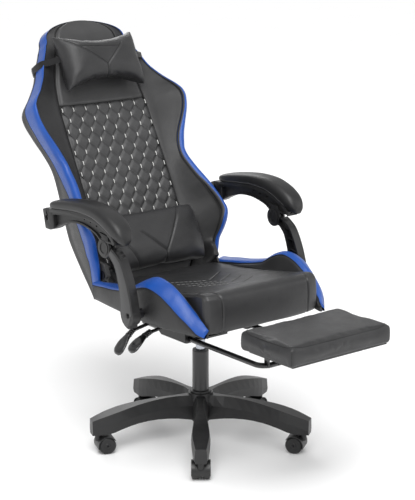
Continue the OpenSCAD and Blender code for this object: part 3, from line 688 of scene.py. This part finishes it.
def buildRearCover():
    rows = backRows(90)
    rings = []
    for s in rows:
        ow = float(halfWidth("outline", s)) - 1
        deep = float(along([[-10, 84], [60, 98], [300, 106], [600, 104], [760, 94], [842, 74]], s))
        a = np.linspace(0, math.pi, 25)
        x = (ow - 1.5) * np.cos(a) * (1 - 0.02 * np.sin(a))
        n = -54 - (deep - 54) * np.sin(a) ** 0.45
        closing = np.array([[-(ow - 8) * 0.97, -60], [(ow - 8) * 0.97, -60]])
        ring = np.vstack([np.stack([x, n], 1), closing])
        p = np.stack([ring[:, 0], ring[:, 1], np.full(len(ring), s)], -1)
        ring[:, 1] += 1.0 * ripple(p, 190, 21)
        rings.append(onBack(ring[:, 0], ring[:, 1], s))
    obj = tubeMesh("backRearCover", rings, 60)
    settle(obj, "back", "rear_cover", rearCloth, "back_panel")


# a dark strand along a seam, painted shade for the seam groove
def seamShadeLine(name, path, radius=1.3):
    return sweep(name, path, radius * mm, 6)


def drawnOn(obj, name, points, aim, radius=1.1, sink=0.4):  # a dark strand of painted seam shade laid on a finished surface
    bpy.context.view_layer.update()
    aim = Vector(aim).normalized()
    hits = []
    for p in points:
        ok, place, *_ = obj.ray_cast(Vector(p) - aim * 0.4, aim)
        if ok:
            hits.append(np.array(place + aim * sink * mm))
    if len(hits) < 3:
        return []
    path = np.array(hits)
    path[1:-1] = (path[:-2] + path[1:-1] * 2 + path[2:]) / 4
    return [seamShadeLine(name, path, radius)]


# pillows

headPillow = {"centre": (-4, 688), "half": (143, 90), "waist": 0.64, "puff": 54, "lie": 26}
lumbarPillow = {"centre": (0, 121), "half": (168, 88), "waist": 0.97, "puff": 50, "lie": 22}


def pillowForm(name, opts, tips):
    k = 41
    u = np.linspace(-1, 1, k)
    uu, vv = np.meshgrid(u, u)
    cx, cs = opts["centre"]
    hw, hh = opts["half"]
    tall = opts["waist"] + (1 - opts["waist"]) * np.abs(uu) ** 2.2
    wide = 1 - 0.07 * tips * (1 - vv**2)
    x = cx + hw * uu * wide
    s = cs + hh * vv * tall
    puff = opts["puff"] * ((1 - np.abs(uu) ** 5) * (1 - np.abs(vv) ** 3)) ** 0.5
    face = opts["lie"]
    sag = np.maximum(face - puff * 0.9, -8)
    front = onBack(x, face + puff, s)
    back = onBack(x, np.minimum(face, sag), s)
    verts = np.vstack([front.reshape(-1, 3), back.reshape(-1, 3)])
    faces = gridFaces(k, k) + [f[::-1] for f in gridFaces(k, k, start=k * k)]
    ids = [r * k + c for r, c in rimOf(k, k)]
    after = ids[1:] + ids[:1]
    faces += [[a, b, k * k + b, k * k + a] for a, b in zip(ids, after)]
    return meshObject(name, verts, faces)


def toBack(p):  # points in mm to the back's own x, n, s
    y = p[:, 1] - backFoot[0]
    z = p[:, 2] - backFoot[1]
    return p[:, 0], -y * math.cos(lean) + z * math.sin(lean), y * math.sin(lean) + z * math.cos(lean)


def seamedPillow(name, opts, tips, seams, cap):
    obj = inflate(pillowForm(name, opts, tips), 4, cap)

    def press(p, nor):
        x, n, s = toBack(p)
        into = np.array([0, math.cos(lean), -math.sin(lean)])
        front = np.clip((n - opts["lie"]) / 12, 0, 1)
        dip = np.zeros(len(p))
        for a, b in seams:
            dip += groove(segmentDistance(x, s, a, b), 3.4)
        wrinkle = 1.6 * ripple(p * np.array([1, 1, 2.2]), 60, 31)
        cx, cs = opts["centre"]
        reach = np.maximum(np.abs(x - cx) / opts["half"][0], np.abs(s - cs) / opts["half"][1])
        edge = np.clip(reach, 0, 1) ** 3
        sunk = front * np.minimum(dip, 1) * 3.6
        moved = p + into * sunk[:, None] + nor * (wrinkle * (0.25 + 0.75 * edge))[:, None]
        back = np.clip((-8 - toBack(moved)[1]), 0, None)
        return moved - into * back[:, None]
    return reshape(obj, press)


# dark strands of painted shade laid in the pillow seams
def pillowShadeLines(obj, name, lines):
    into = (0, math.cos(lean), -math.sin(lean))
    made = []
    for i, (a, b) in enumerate(lines):
        t = np.linspace(0, 1, 40)
        points = onBack(a[0] + (b[0] - a[0]) * t, 60.0, a[1] + (b[1] - a[1]) * t)
        made += drawnOn(obj, f"{name}{i}", points, into, 1.0)
    settle(joined(name, made), "back", "black_leather", seamShadow)


def buildHeadPillow():
    seams = [((-120, 752), (-9, 662)), ((60, 724), (-9, 662)), ((-9, 662), (-5, 606)),
        ((-84, 724), (50, 716))]
    obj = seamedPillow("headPillowCover", headPillow, 1, seams, 9)
    settle(obj, "back", "black_leather", blackLeather, "head_pillow", padded=0.75)
    pillowShadeLines(obj, "headPillowShadeLines", seams)


def buildLumbarPillow():
    seams = [((97, 203), (4, 70)), ((-67, 138), (4, 70)), ((4, 70), (4, 42)), ((-131, 121), (-92, 44))]
    obj = seamedPillow("lumbarPillowCover", lumbarPillow, 0.25, seams, 8)
    settle(obj, "back", "black_leather", blackLeather, "lumbar_pillow", padded=0.8)
    pillowShadeLines(obj, "lumbarPillowShadeLines", seams)


def buildHeadStrap():
    s0 = 706
    half = 9.5
    ow = float(halfWidth("outline", s0 - 9)) + 4.2
    wing = float(along(backShape["wing"], s0))
    loop = [[128, 24], [ow - 14, wing + 5], [ow - 3, wing - 2], [ow + 0.5, wing - 14], [ow + 0.5, -50],
            [ow - 6, -74], [ow * 0.78, -104], [0, -107]]
    right = curveThrough(loop, 6)
    whole = np.vstack([right, right[-2::-1] * [-1, 1]])
    rings = []
    for i, (x, n) in enumerate(whole):
        a, b = whole[max(i - 1, 0)], whole[min(i + 1, len(whole) - 1)]
        d = (b - a) / np.linalg.norm(b - a)
        out = np.array([-d[1], d[0]]) * -0.8
        ring = [onBack(x + out[0] * q, n + out[1] * q, s0 + r) for q, r in
                ((-1, -half), (1, -half), (1.4, 0), (1, half), (-1, half), (-1, 0))]
        rings.append(ring)
    obj = tubeMesh("headStrapBand", rings)
    settle(obj, "back", "elastic", elasticBand, "head_strap")


for step in (buildBackCushion, buildBackSides, buildBackTrims, buildRearCover, buildHeadPillow,
        buildLumbarPillow, buildHeadStrap):
    step()
    print(step.__name__, "done")


# seat

seatShape = {
    "half": 199,
    "profile": [[178, 446], [179, 464], [170, 476], [120, 480], [60, 485], [-60, 499], [-160, 516],
        [-220, 528], [-250, 534], [-270, 534], [-284, 526], [-290, 508], [-292, 480], [-291, 452],
        [-288, 436], [-280, 429], [-268, 428]],
    "chevrons": [-34, -84, -134, -184],
}


def buildSeatCushion():
    half = seatShape["half"]
    line = curveThrough(seatShape["profile"], 14)
    arc = np.concatenate([[0], np.cumsum(np.linalg.norm(np.diff(line, axis=0), axis=1))])
    t = np.linspace(0, arc[-1], 260)
    y = np.interp(t, arc, line[:, 0])
    z = np.interp(t, arc, line[:, 1])
    tangent = np.stack([np.gradient(y), np.gradient(z)], 1)
    tangent /= np.linalg.norm(tangent, axis=1, keepdims=True)
    out = np.stack([tangent[:, 1], -tangent[:, 0]], 1)
    v = np.sin(np.linspace(-1, 1, 170) * math.pi / 2) * 0.25 + np.linspace(-1, 1, 170) * 0.75
    x = half * v[None, :] + 0 * y[:, None]
    yy = y[:, None] + 0 * x
    zz = z[:, None] + 0 * x
    facing = np.clip(out[:, 1], 0, 1)[:, None]
    edge = half - np.abs(x)
    lift = 2.5 * (1 - v[None, :] ** 4) - 6 * groove(edge, 5)
    lift = lift - 3.0 * facing * np.exp(-((x / 120) ** 2 + ((yy + 20) / 120) ** 2))
    seamX = along([[-295, 152], [-270, 158], [-230, 166], [-150, 176], [-40, 184], [180, 188]], yy)
    lift = lift - 3.4 * groove(np.abs(x) - seamX, 2.4) * (edge > 3)
    onTop = ((z > 478) & (out[:, 1] > 0.6))[:, None]
    for apex in seatShape["chevrons"]:
        for way in (-1, 1):
            d = segmentDistance(x, yy, (6 * way, apex), (way * 98, apex + 70))
            lift = lift - 1.8 * groove(d, 2.2) * onTop
    lift = lift + 1.1 * ripple(np.stack([x, yy, zz], -1), 130, 5)
    creases = 1.5 * ripple(np.stack([x * 0.35, yy * 2.2, zz * 2.2], -1), 60, 8)
    lift = lift + creases * groove(edge - 18, 16) * onTop
    pull = np.clip(1 - edge / 60, 0, 1) ** 2 * np.clip((-yy - 200) / 90, 0, 1)
    front = np.stack([x, yy + out[:, 0][:, None] * lift + 12 * pull, zz + out[:, 1][:, None] * lift],
        -1) * mm
    inside = np.stack([x, np.clip(yy, -262, 170), 0 * zz + 440], -1) * mm
    obj = backedGrid("seatCushionCover", front, inside, 60)
    settle(obj, "seat", "black_leather", blackLeather, "seat_cushion", padded=0.85)
    grid = np.array([v.co for v in obj.data.vertices])

    def topAt(px, py):
        away = (grid[:, 0] - px * mm) ** 2 + (grid[:, 1] - py * mm) ** 2
        near = np.argsort(away - 0.02 * grid[:, 2])[:1]
        return float(grid[near, 2][0]) / mm
    threads = []
    for i, apex in enumerate(seatShape["chevrons"]):
        for way in (-1, 1):
            for k in range(9):
                path = []
                for f in ((k + 0.15) / 9, (k + 0.48) / 9, (k + 0.8) / 9):
                    px, py = way * (6 + 92 * f), apex + 70 * f
                    path.append(np.array([px, py, topAt(px, py) + 0.5]) * mm)
                threads.append(sweep(f"thread{i}{way}{k}", path, 0.75 * mm, 5))
    settle(joined("seatChevronStitches", threads), "seat", "white_thread", greyThread)
    # dark strands of painted shade along the seat's side seams
    seams = []
    for sign in (-1, 1):
        rows = range(6, 236)
        cols = [int(np.argmin(np.abs(x[i] - sign * seamX[i, 0]))) for i in rows]
        path = np.array([front[i, c] for i, c in zip(rows, cols)])
        padded = [np.pad(path[:, a], 4, mode="edge") for a in range(3)]
        path = np.stack([np.convolve(line, np.ones(9) / 9, "valid") for line in padded], 1)
        seams.append(seamShadeLine(f"seatShadeLine{sign}", path, 1.2))
    settle(joined("seatShadeLines", seams), "seat", "black_leather", seamShadow)


seatSide = {
    "ridge": [[-290, 447], [-275, 462], [-262, 475], [-245, 492], [-225, 510], [-200, 529], [-160, 549],
        [-112, 558], [-70, 546], [-20, 518], [60, 499], [120, 490], [185, 480]],
    "seam": [[-290, 203], [-275, 208], [-262, 213], [-245, 219], [-225, 224], [-200, 227], [-112, 230],
        [-20, 228], [60, 225], [120, 220], [185, 217]],
    "edge": [[-290, 428], [-275, 436], [-262, 452], [-245, 468], [-225, 482], [-200, 500], [-160, 524],
        [-112, 535], [-70, 527], [-20, 508], [60, 492], [120, 485], [185, 477]],
    "innerRise": [[-290, 440], [-262, 468], [-225, 494], [-200, 503], [-100, 505], [0, 495], [100, 482],
        [185, 474]],
    "hem": [[-290, 424], [-262, 428], [-225, 430], [185, 430]],
    "outer": [[-290, 214], [-275, 226], [-262, 236], [-245, 244], [-225, 250], [-200, 255], [-160, 262],
        [-112, 266], [-20, 265], [60, 258], [120, 252], [185, 245]],
}


def buildSeatSides():
    ys = np.concatenate([np.linspace(-291, -240, 30), np.linspace(-236, 186, 90)])
    trims = []
    seams = []
    for side, sign in sides.items():
        rings = []
        trimRings = []
        edgeShadeLine = []
        ridgeShadeLine = []
        for y in ys:
            got = {k: float(along(seatSide[k], y)) for k in seatSide}
            inner = 199.6
            ow, ridge, edge, hem = got["outer"], got["ridge"], got["edge"], got["hem"]
            seam = max(got["seam"], inner + 3)
            rise = min(got["innerRise"], ridge - 4)
            body = [[inner, hem + 1], [inner, rise - 14], [inner + 0.5, rise - 4], [inner + 3, rise]]
            tuck = min(13, max(seam - inner - 6, 2))
            sx, sz = seam - tuck, ridge - 0.55 * tuck
            body += [[(inner + sx) / 2, rise + (sz - rise) * 0.5], [sx - 2, sz - 2], [seam, ridge - 3]]
            outerFace = [[ow - 4, edge - 1], [ow - 0.5, edge - 4], [ow + 1.5, (edge + hem) / 2],
                [ow - 1, hem + 8], [ow - 8, hem]]
            line = np.vstack([curveThrough(body, 3), curveThrough(outerFace, 3)])
            p = np.stack([line[:, 0], np.full(len(line), y), line[:, 1]], -1)
            line = line + 0.9 * ripple(p, 110, 41)[:, None] * (p[:, 2] > hem + 4)[:, None]
            rings.append(np.stack([line[:, 0] * sign, np.full(len(line), y), line[:, 1]], -1) * mm)
            mid = [(seam + ow) / 2 + 3, (ridge + edge) / 2 + 6]
            over = [[sx, sz], [(sx + seam) / 2, (sz + ridge) / 2 + 2.4], [seam + 2, ridge + 1.6], mid]
            band = curveThrough([*over, [ow + 1, edge + 5], [ow + 2.5, edge - 1.5]], 3)
            under = [[ow - 5, edge - 2], [(seam + ow) / 2, (ridge + edge) / 2 - 3], [seam, ridge - 6],
                [sx + 1, sz - 4]]
            band = np.vstack([band, under])
            trimRings.append(np.stack([band[:, 0] * sign, np.full(len(band), y), band[:, 1]], -1) * mm)
            # Dark strands of painted shade along the trim's outer edge and its ridge.
            edgeShadeLine.append(np.array([sign * (ow + 2.2), y, edge - 1.5]) * mm)
            ridgeShadeLine.append(np.array([sign * (sx - 0.6), y, sz + 0.2]) * mm)
        obj = tubeMesh(f"seatSide{side}Cover", rings, 50)
        # the seat side covers take the black leather copy painted darker, as painted shade
        settle(obj, "seat", "black_leather", shadedSideLeather, f"seat_side_{side.lower()}", padded=0.8)
        trims.append(tubeMesh(f"seatTrim{side}", trimRings, 50))
        seams += [seamShadeLine(f"seatEdgeShade{side}", edgeShadeLine, 1.5), seamShadeLine(f"seatRidgeShade{side}", ridgeShadeLine,
            1.2)]
    settle(joined("seatTrimBlue", trims), "seat", "blue_leather", blueLeather, "seat_trim")
    settle(joined("seatTrimShadeLines", seams), "seat", "black_leather", seamShadow)


def buildBoardCover():
    x = np.linspace(-187, 187, 60)
    y = np.linspace(-272, 162, 70)
    xx, yy = np.meshgrid(x, y)
    sag = 0.8 * ripple(np.stack([xx, yy, 0 * xx], -1), 90, 61)
    low = np.stack([xx, yy, 429.4 + sag * 0.5], -1) * mm
    high = np.stack([xx, yy, 0 * xx + 441], -1) * mm
    settle(backedGrid("seatBoardCover", low, high, 60), "seat", "rear_cover", rearCloth, "seat_board")


for step in (buildSeatCushion, buildSeatSides, buildBoardCover):
    step()
    print(step.__name__, "done")


# footrest pad

footPad = {"half": (176.5, 103), "centre": -492, "low": 414.5}


def buildFootPad():
    hx, hy = footPad["half"]
    rings = []
    heights = [(0, 2), (2, 0), (14, -0.8), (28, -0.8), (42, 0), (46, 0.5), (49, 3), (50.5, 10)]
    for h, pull in heights:
        ring = []
        r = 9
        for cxs, cys, a0 in ((1, 1, 0), (-1, 1, 90), (-1, -1, 180), (1, -1, 270)):
            for a in np.linspace(0, 90, 7):
                t = math.radians(a0 + a)
                ring.append([(hx - r - pull) * cxs + r * math.cos(t),
                    footPad["centre"] + (hy - r - pull) * cys + r * math.sin(t), footPad["low"] + h])
        rings.append(np.array(ring) * mm)
    form = tubeMesh("footrestPadCover", rings)
    obj = inflate(form, 2.5, 3)

    def crown(p, nor):
        u = p[:, 0] / hx
        v = (p[:, 1] - footPad["centre"]) / hy
        up = np.clip((p[:, 2] - 450) / 14, 0, 1)
        p = p.copy()
        seam = groove(1 - np.maximum(np.abs(u), np.abs(v)), 0.04)
        p[:, 2] += up * (3.2 * (1 - u**2) * (1 - v**2) - 2.0 * seam)
        p += nor * (0.7 * ripple(p, 80, 51))[:, None]
        p[:, 2] = np.maximum(p[:, 2], footPad["low"])
        return p
    reshape(obj, crown)
    settle(obj, "foot_pad", "black_leather", blackLeather, "footrest_pad", padded=0.85)
    # dark strands of painted shade along the pad's top seam and its corners
    seams = []
    t = np.linspace(0, 2 * math.pi, 160, endpoint=True)
    u = np.sign(np.cos(t)) * np.abs(np.cos(t)) ** 0.16
    v = np.sign(np.sin(t)) * np.abs(np.sin(t)) ** 0.16
    ring = np.stack([(hx - 6) * u, footPad["centre"] + (hy - 6) * v, 0 * t + 520], 1) * mm
    seams += drawnOn(obj, "padTopShadeLine", ring, (0, 0, -1), 1.0)
    for sx in (-1, 1):
        for sy in (-1, 1):
            z = np.linspace(420, 458, 14)
            start = np.stack([0 * z + sx * (hx + 40), 0 * z + footPad["centre"] + sy * (hy + 40), z],
                1) * mm
            seams += drawnOn(obj, f"padCornerShade{sx}{sy}", start, (-sx, -sy, 0), 1.0)
    settle(joined("footrestPadShadeLines", seams), "foot_pad", "black_leather", seamShadow)


buildFootPad()
print("footrest pad done")


# armrests

armX = 308
armPad = {
    "spine": [[276, 705], [266, 708], [240, 713], [185, 721], [115, 727.5], [50, 724.5], [8, 714],
        [-24, 700], [-48, 684], [-64, 666], [-70, 652]],
    "thick": [5, 10, 13, 15, 16.5, 18.5, 20, 20.5, 19.5, 14, 5],
    "half": [17, 26, 31, 32.5, 33.5, 33.5, 33, 32, 29, 21, 8],
}


def buildArmPads():
    k = np.arange(len(armPad["thick"]))
    t = np.linspace(0, k[-1], 90)
    spine = np.stack([along(np.stack([k, np.array(armPad["spine"])[:, i]], 1), t) for i in (0, 1)], 1)
    thick = along(np.stack([k, armPad["thick"]], 1), t)
    half = along(np.stack([k, armPad["half"]], 1), t)
    tangent = np.gradient(spine, axis=0)
    tangent /= np.linalg.norm(tangent, axis=1, keepdims=True)
    normal = np.stack([-tangent[:, 1], tangent[:, 0]], 1) * -1
    a = np.linspace(0, 2 * math.pi, 40, endpoint=False)
    cx = np.sign(np.cos(a)) * np.abs(np.cos(a)) ** 0.55
    cn = np.sign(np.sin(a)) * np.abs(np.sin(a)) ** np.where(np.sin(a) > 0, 0.8, 0.45)
    for side, sign in sides.items():
        rings = []
        for i in range(len(t)):
            off = cn * thick[i]
            yz = spine[i] + off[:, None] * normal[i]
            x = sign * (armX + half[i] * cx * (1 - 0.06 * (cn > 0) * np.abs(cn) ** 2))
            rings.append(np.stack([x, yz[:, 0], yz[:, 1]], 1) * mm)
        obj = tubeMesh(f"armPad{side}Foam", rings, 60)
        settle(obj, f"arm_{side.lower()}", "arm_pad", armFoam, f"armrest_pad_{side.lower()}", padded=0.95)


armFrame = {
    "top": [[270, 697], [240, 701], [185, 707], [115, 713], [48, 707], [4, 695], [-24, 682], [-42, 670],
        [-52, 656]],
    "step": [[266, 687], [240, 691], [185, 697], [115, 703], [48, 697], [4, 685], [-20, 673], [-36, 662],
        [-46, 650]],
    "low": [[300, 634], [284, 634], [266, 639], [249, 647], [216, 661], [171, 672], [121, 673], [66, 661],
        [36, 645], [10, 646], [-12, 646], [-36, 645]],
    "block": [(319, 688), (300, 694), (266, 696), (262, 640), (282, 632), (306, 632)],
}
knuckle = (25, 628)


def disc(centre, r, count=40, start=0.0, end=2 * math.pi):
    a = np.linspace(start, end, count, endpoint=abs(end - start) < 6.28)
    return [(centre[0] + r * math.cos(v), centre[1] + r * math.sin(v)) for v in a]


def buildArmFrames():
    for side, sign in sides.items():
        top = curveThrough(armFrame["top"], 6)
        step = curveThrough(armFrame["step"], 6)
        low = curveThrough(armFrame["low"], 6)
        a, b = armX - 13, armX + 9
        flange = np.vstack([top, step[::-1]])
        second = np.vstack([step + [0, 1], (step - [0, 7])[::-1]])
        web = np.vstack([[[300, 690]], top - [0, 4], low[::-1]])
        shelf = np.vstack([low + [0, 5], (low - [0, 0.5])[::-1]])
        holes = [disc((y, z), 4.4, 18) for y, z in ((62, 684), (92, 690), (122, 692))]
        pieces = [
            plate("armFlange", flange, armX - 28, armX + 27, bevel=2),
            plate("armStep", second, armX - 20, armX + 18, bevel=1.6),
            plate("armWeb", web, a + 4, b - 4, holes, bevel=0.8),
            plate("armShelf", shelf, a - 1, b + 1, bevel=1.2),
            plate("armBlock", armFrame["block"], a - 6, b + 9, [disc((299, 665), 7, 24)], bevel=3.5),
        ]
        for x0, x1 in ((a, armX - 6.7), (armX + 2.7, b)):
            lug = disc(knuckle, 28, 36, math.radians(-215), math.radians(75)) + [(46, 668), (4, 664)]
            pieces.append(plate("armLug", lug, x0, x1, bevel=2))
            pieces.append(plate("armLugRim", disc(knuckle, 21, 36), x0 - 1.6, x1 + 1.6,
                [disc(knuckle, 15, 28)], bevel=0.8))
        pieces.append(plate("armPin", disc(knuckle, 6, 24), a + 0.5, b - 0.5, bevel=0.8))
        obj = joined(f"armFrame{side}Shell", pieces)
        if sign < 0:
            mirroredX(obj)
        settle(obj, f"arm_{side.lower()}", "black_plastic", blackPlastic, f"armrest_frame_{side.lower()}")


strut = {
    "line": [[-98, 444, 18], [-92, 446, 24], [-83, 456, 28], [-79, 472, 28], [-75, 503, 25],
        [-62, 551, 21], [-42, 593, 17.5], [-22, 612, 15], [-6, 622, 13]],
    "x": (292, 318),
}


def buildStruts():
    for side, sign in sides.items():
        line = curveThrough(strut["line"], 6)
        d = np.gradient(line[:, :2], axis=0)
        d /= np.linalg.norm(d, axis=1, keepdims=True)
        nrm = np.stack([d[:, 1], -d[:, 0]], 1)
        x0, x1 = strut["x"]

        def ribbon(inset):
            h = (line[:, 2] - inset)[:, None]
            return np.vstack([line[:, :2] + nrm * h, (line[:, :2] - nrm * h)[::-1]])
        foot, bolt = (-87, 458), (-88, 461)
        eye = [disc(knuckle, 7, 24)]
        tongue = [(-42, 596), (-22, 600), (33, 616), (19, 642), (-28, 622)]
        pieces = [
            plate("strutSkin", ribbon(0), x1 - 6, x1, [disc(bolt, 6, 24)], bevel=2.5),
            plate("strutHead", ribbon(0), x0, x1 - 5.5, [ribbon(5)[2:-2]], bevel=1.2),
            plate("strutFoot", disc(foot, 25, 36), x0, x1 + 0.4, [disc(bolt, 8, 24)], bevel=2.5),
            plate("strutBoltCap", disc(bolt, 8.5, 24), x1 - 7, x1 - 3, [disc(bolt, 3.5, 6)], bevel=0.6),
            plate("strutTongue", tongue, armX - 6, armX + 2, bevel=1),
            plate("strutTongueEye", disc(knuckle, 16, 32), armX - 6, armX + 2, eye, bevel=1),
        ]
        for y, z, w in ((-79, 505, 40), (-70, 540, 38), (-58, 572, 34)):
            rib = [(y - w / 2, z - 3), (y + w / 2, z + 3), (y + w / 2, z + 6), (y - w / 2, z)]
            pieces.append(plate("strutRib", rib, x0 + 3, x1 - 5, bevel=0.6))
        obj = joined(f"armStrut{side}Shell", pieces)
        if sign < 0:
            mirroredX(obj)
        settle(obj, f"strut_{side.lower()}", "black_plastic", blackPlastic, f"arm_strut_{side.lower()}")
        panel = plate(f"armStrut{side}Panel", ribbon(5)[4:-4], x1 - 1, x1 + 1, [disc(bolt, 9, 24)],
            bevel=0.9)
        if sign < 0:
            mirroredX(panel)
        settle(panel, f"strut_{side.lower()}", "black_plastic", strutPlastic)


for step in (buildArmPads, buildArmFrames, buildStruts):
    step()
    print(step.__name__, "done")

handle = {
    "x": (-205, -222), "z": (388, 382), "y": (-42, 18), "drop": (33, 46),
    "rows": [[0, 7, 7], [3, 9, 8.5], [6, 7.5, 7], [9, 9.5, 8.5], [12, 8, 7], [15, 10, 8.5], [18, 9, 7],
        [21, 11.5, 8.5], [25, 11, 7], [34, 14, 6.5], [48, 19, 6.5], [62, 21, 7], [74, 20, 7.5],
        [82, 15, 7], [86, 8, 5]],
}


def buildHandles():
    for k, which in enumerate(("height", "recline")):
        rings = []
        rows = np.array(handle["rows"], float)
        t = np.linspace(0, 86, 70)
        wide = along(rows[:, :2], t)
        thick = along(rows[:, [0, 2]], t)
        drop = math.radians(handle["drop"][k])
        away = np.array([-math.cos(drop), 0, -math.sin(drop)])
        up = np.array([-math.sin(drop), 0, math.cos(drop)])
        root = np.array([handle["x"][k], handle["y"][k], handle["z"][k]])
        a = np.linspace(0, 2 * math.pi, 28, endpoint=False)
        for d, w, h in zip(t, wide, thick):
            rise = 5 * math.sin(math.pi * d / 86)
            dish = 3.2 * math.exp(-((d - 58) / 14) ** 2)
            off = np.sin(a) * h - dish * (np.sin(a) > 0) * np.exp(-(np.cos(a) / 0.55) ** 2)
            spot = root + away * (d + 3) + np.outer(off + rise, up)
            rings.append((spot + np.outer(np.cos(a) * w, [0, 1, 0])) * mm)
        obj = tubeMesh(f"{which}LeverPaddle", rings, 50)
        settle(obj, f"{which}_lever", "handle_plastic", handlePlastic, f"{which}_lever_handle")


buildHandles()
print("buildHandles done")


slotMaterial = {
    "base_plastic": basePlastic, "wheel_plastic": wheelPlastic, "black_plastic": blackPlastic,
    "handle_plastic": handlePlastic, "arm_pad": armFoam, "column_steel": columnSteel,
    "black_steel": blackSteel, "bright_steel": brightSteel, "zinc_steel": zincSteel,
    "bearing_steel": zincSteel, "red_button": redPlastic, "plywood": boardWood, "elastic": elasticBand,
    "black_leather": blackLeather, "blue_leather": blueLeather, "rear_cover": rearCloth,
    "white_thread": whiteThread,
}
for part in frame["record"]["subparts"]:
    node = frame["nodes"][part["node"]]
    node.data.materials.clear()
    dark = part["node"] in ("strut_bolts", "armrest_bolts", "recliner_bolts") or "axle" in part["node"]
    node.data.materials.append(darkSteel if dark else slotMaterial[part["material_slot"]])


# floor, light and camera

def buildStage():
    floorShade = Shade("paleFloor", Specular_IOR_Level=0.2)
    floorShade.set("Base Color", floorShade.mix(floorShade.noise(3), colour(0.9, 0.9, 0.9),
        colour(0.93, 0.93, 0.93)))
    floorShade.set("Roughness", 0.75 + (floorShade.noise(5) - 0.5) * 0.1)
    bpy.ops.mesh.primitive_plane_add(size=60, location=(0, 0, 0))
    floor = bpy.context.active_object
    floor.name = "studioFloor"
    floor.data.materials.append(floorShade.mat)
    world = bpy.data.worlds.new("studioSky")
    bpy.context.scene.world = world
    world.use_nodes = True
    world.node_tree.nodes["Background"].inputs["Color"].default_value = (1, 1, 1, 1)
    world.node_tree.nodes["Background"].inputs["Strength"].default_value = 0.62
    sun = bpy.data.lights.new("skySun", "SUN")
    sun.energy = 1.75
    sun.angle = math.radians(35)
    high = bpy.data.objects.new("skySun", sun)
    high.rotation_euler = (math.radians(22), math.radians(-14), 0)
    bpy.context.scene.collection.objects.link(high)
    lamps = {
        "keyLamp": ((-2.4, -2.2, 3.0), 1.6, 55), "fillLamp": ((3.0, -2.4, 2.0), 2.0, 18),
        "backLamp": ((1.5, 3.4, 2.6), 2.0, 35),
    }
    for name, (place, size, power) in lamps.items():
        data = bpy.data.lights.new(name, "AREA")
        data.size = size
        data.energy = power
        lamp = bpy.data.objects.new(name, data)
        lamp.location = place
        lamp.rotation_euler = (Vector((0, 0.1, 0.6)) - Vector(place)).to_track_quat("-Z", "Y").to_euler()
        bpy.context.scene.collection.objects.link(lamp)


def buildCamera():
    view = {"place": (-2.580, -3.290, 1.637), "heading": 38.38, "down": 14.22, "lens": 108.8}
    data = bpy.data.cameras.new("mainCamera")
    data.lens = view["lens"]
    data.sensor_width = 36
    data.sensor_fit = "AUTO"
    cam = bpy.data.objects.new("mainCamera", data)
    cam.location = view["place"]
    cam.rotation_euler = (math.radians(90 - view["down"]), 0, math.radians(-view["heading"]))
    bpy.context.scene.collection.objects.link(cam)
    bpy.context.scene.camera = cam


buildStage()
buildCamera()
bpy.context.scene.view_settings.view_transform = "Standard"
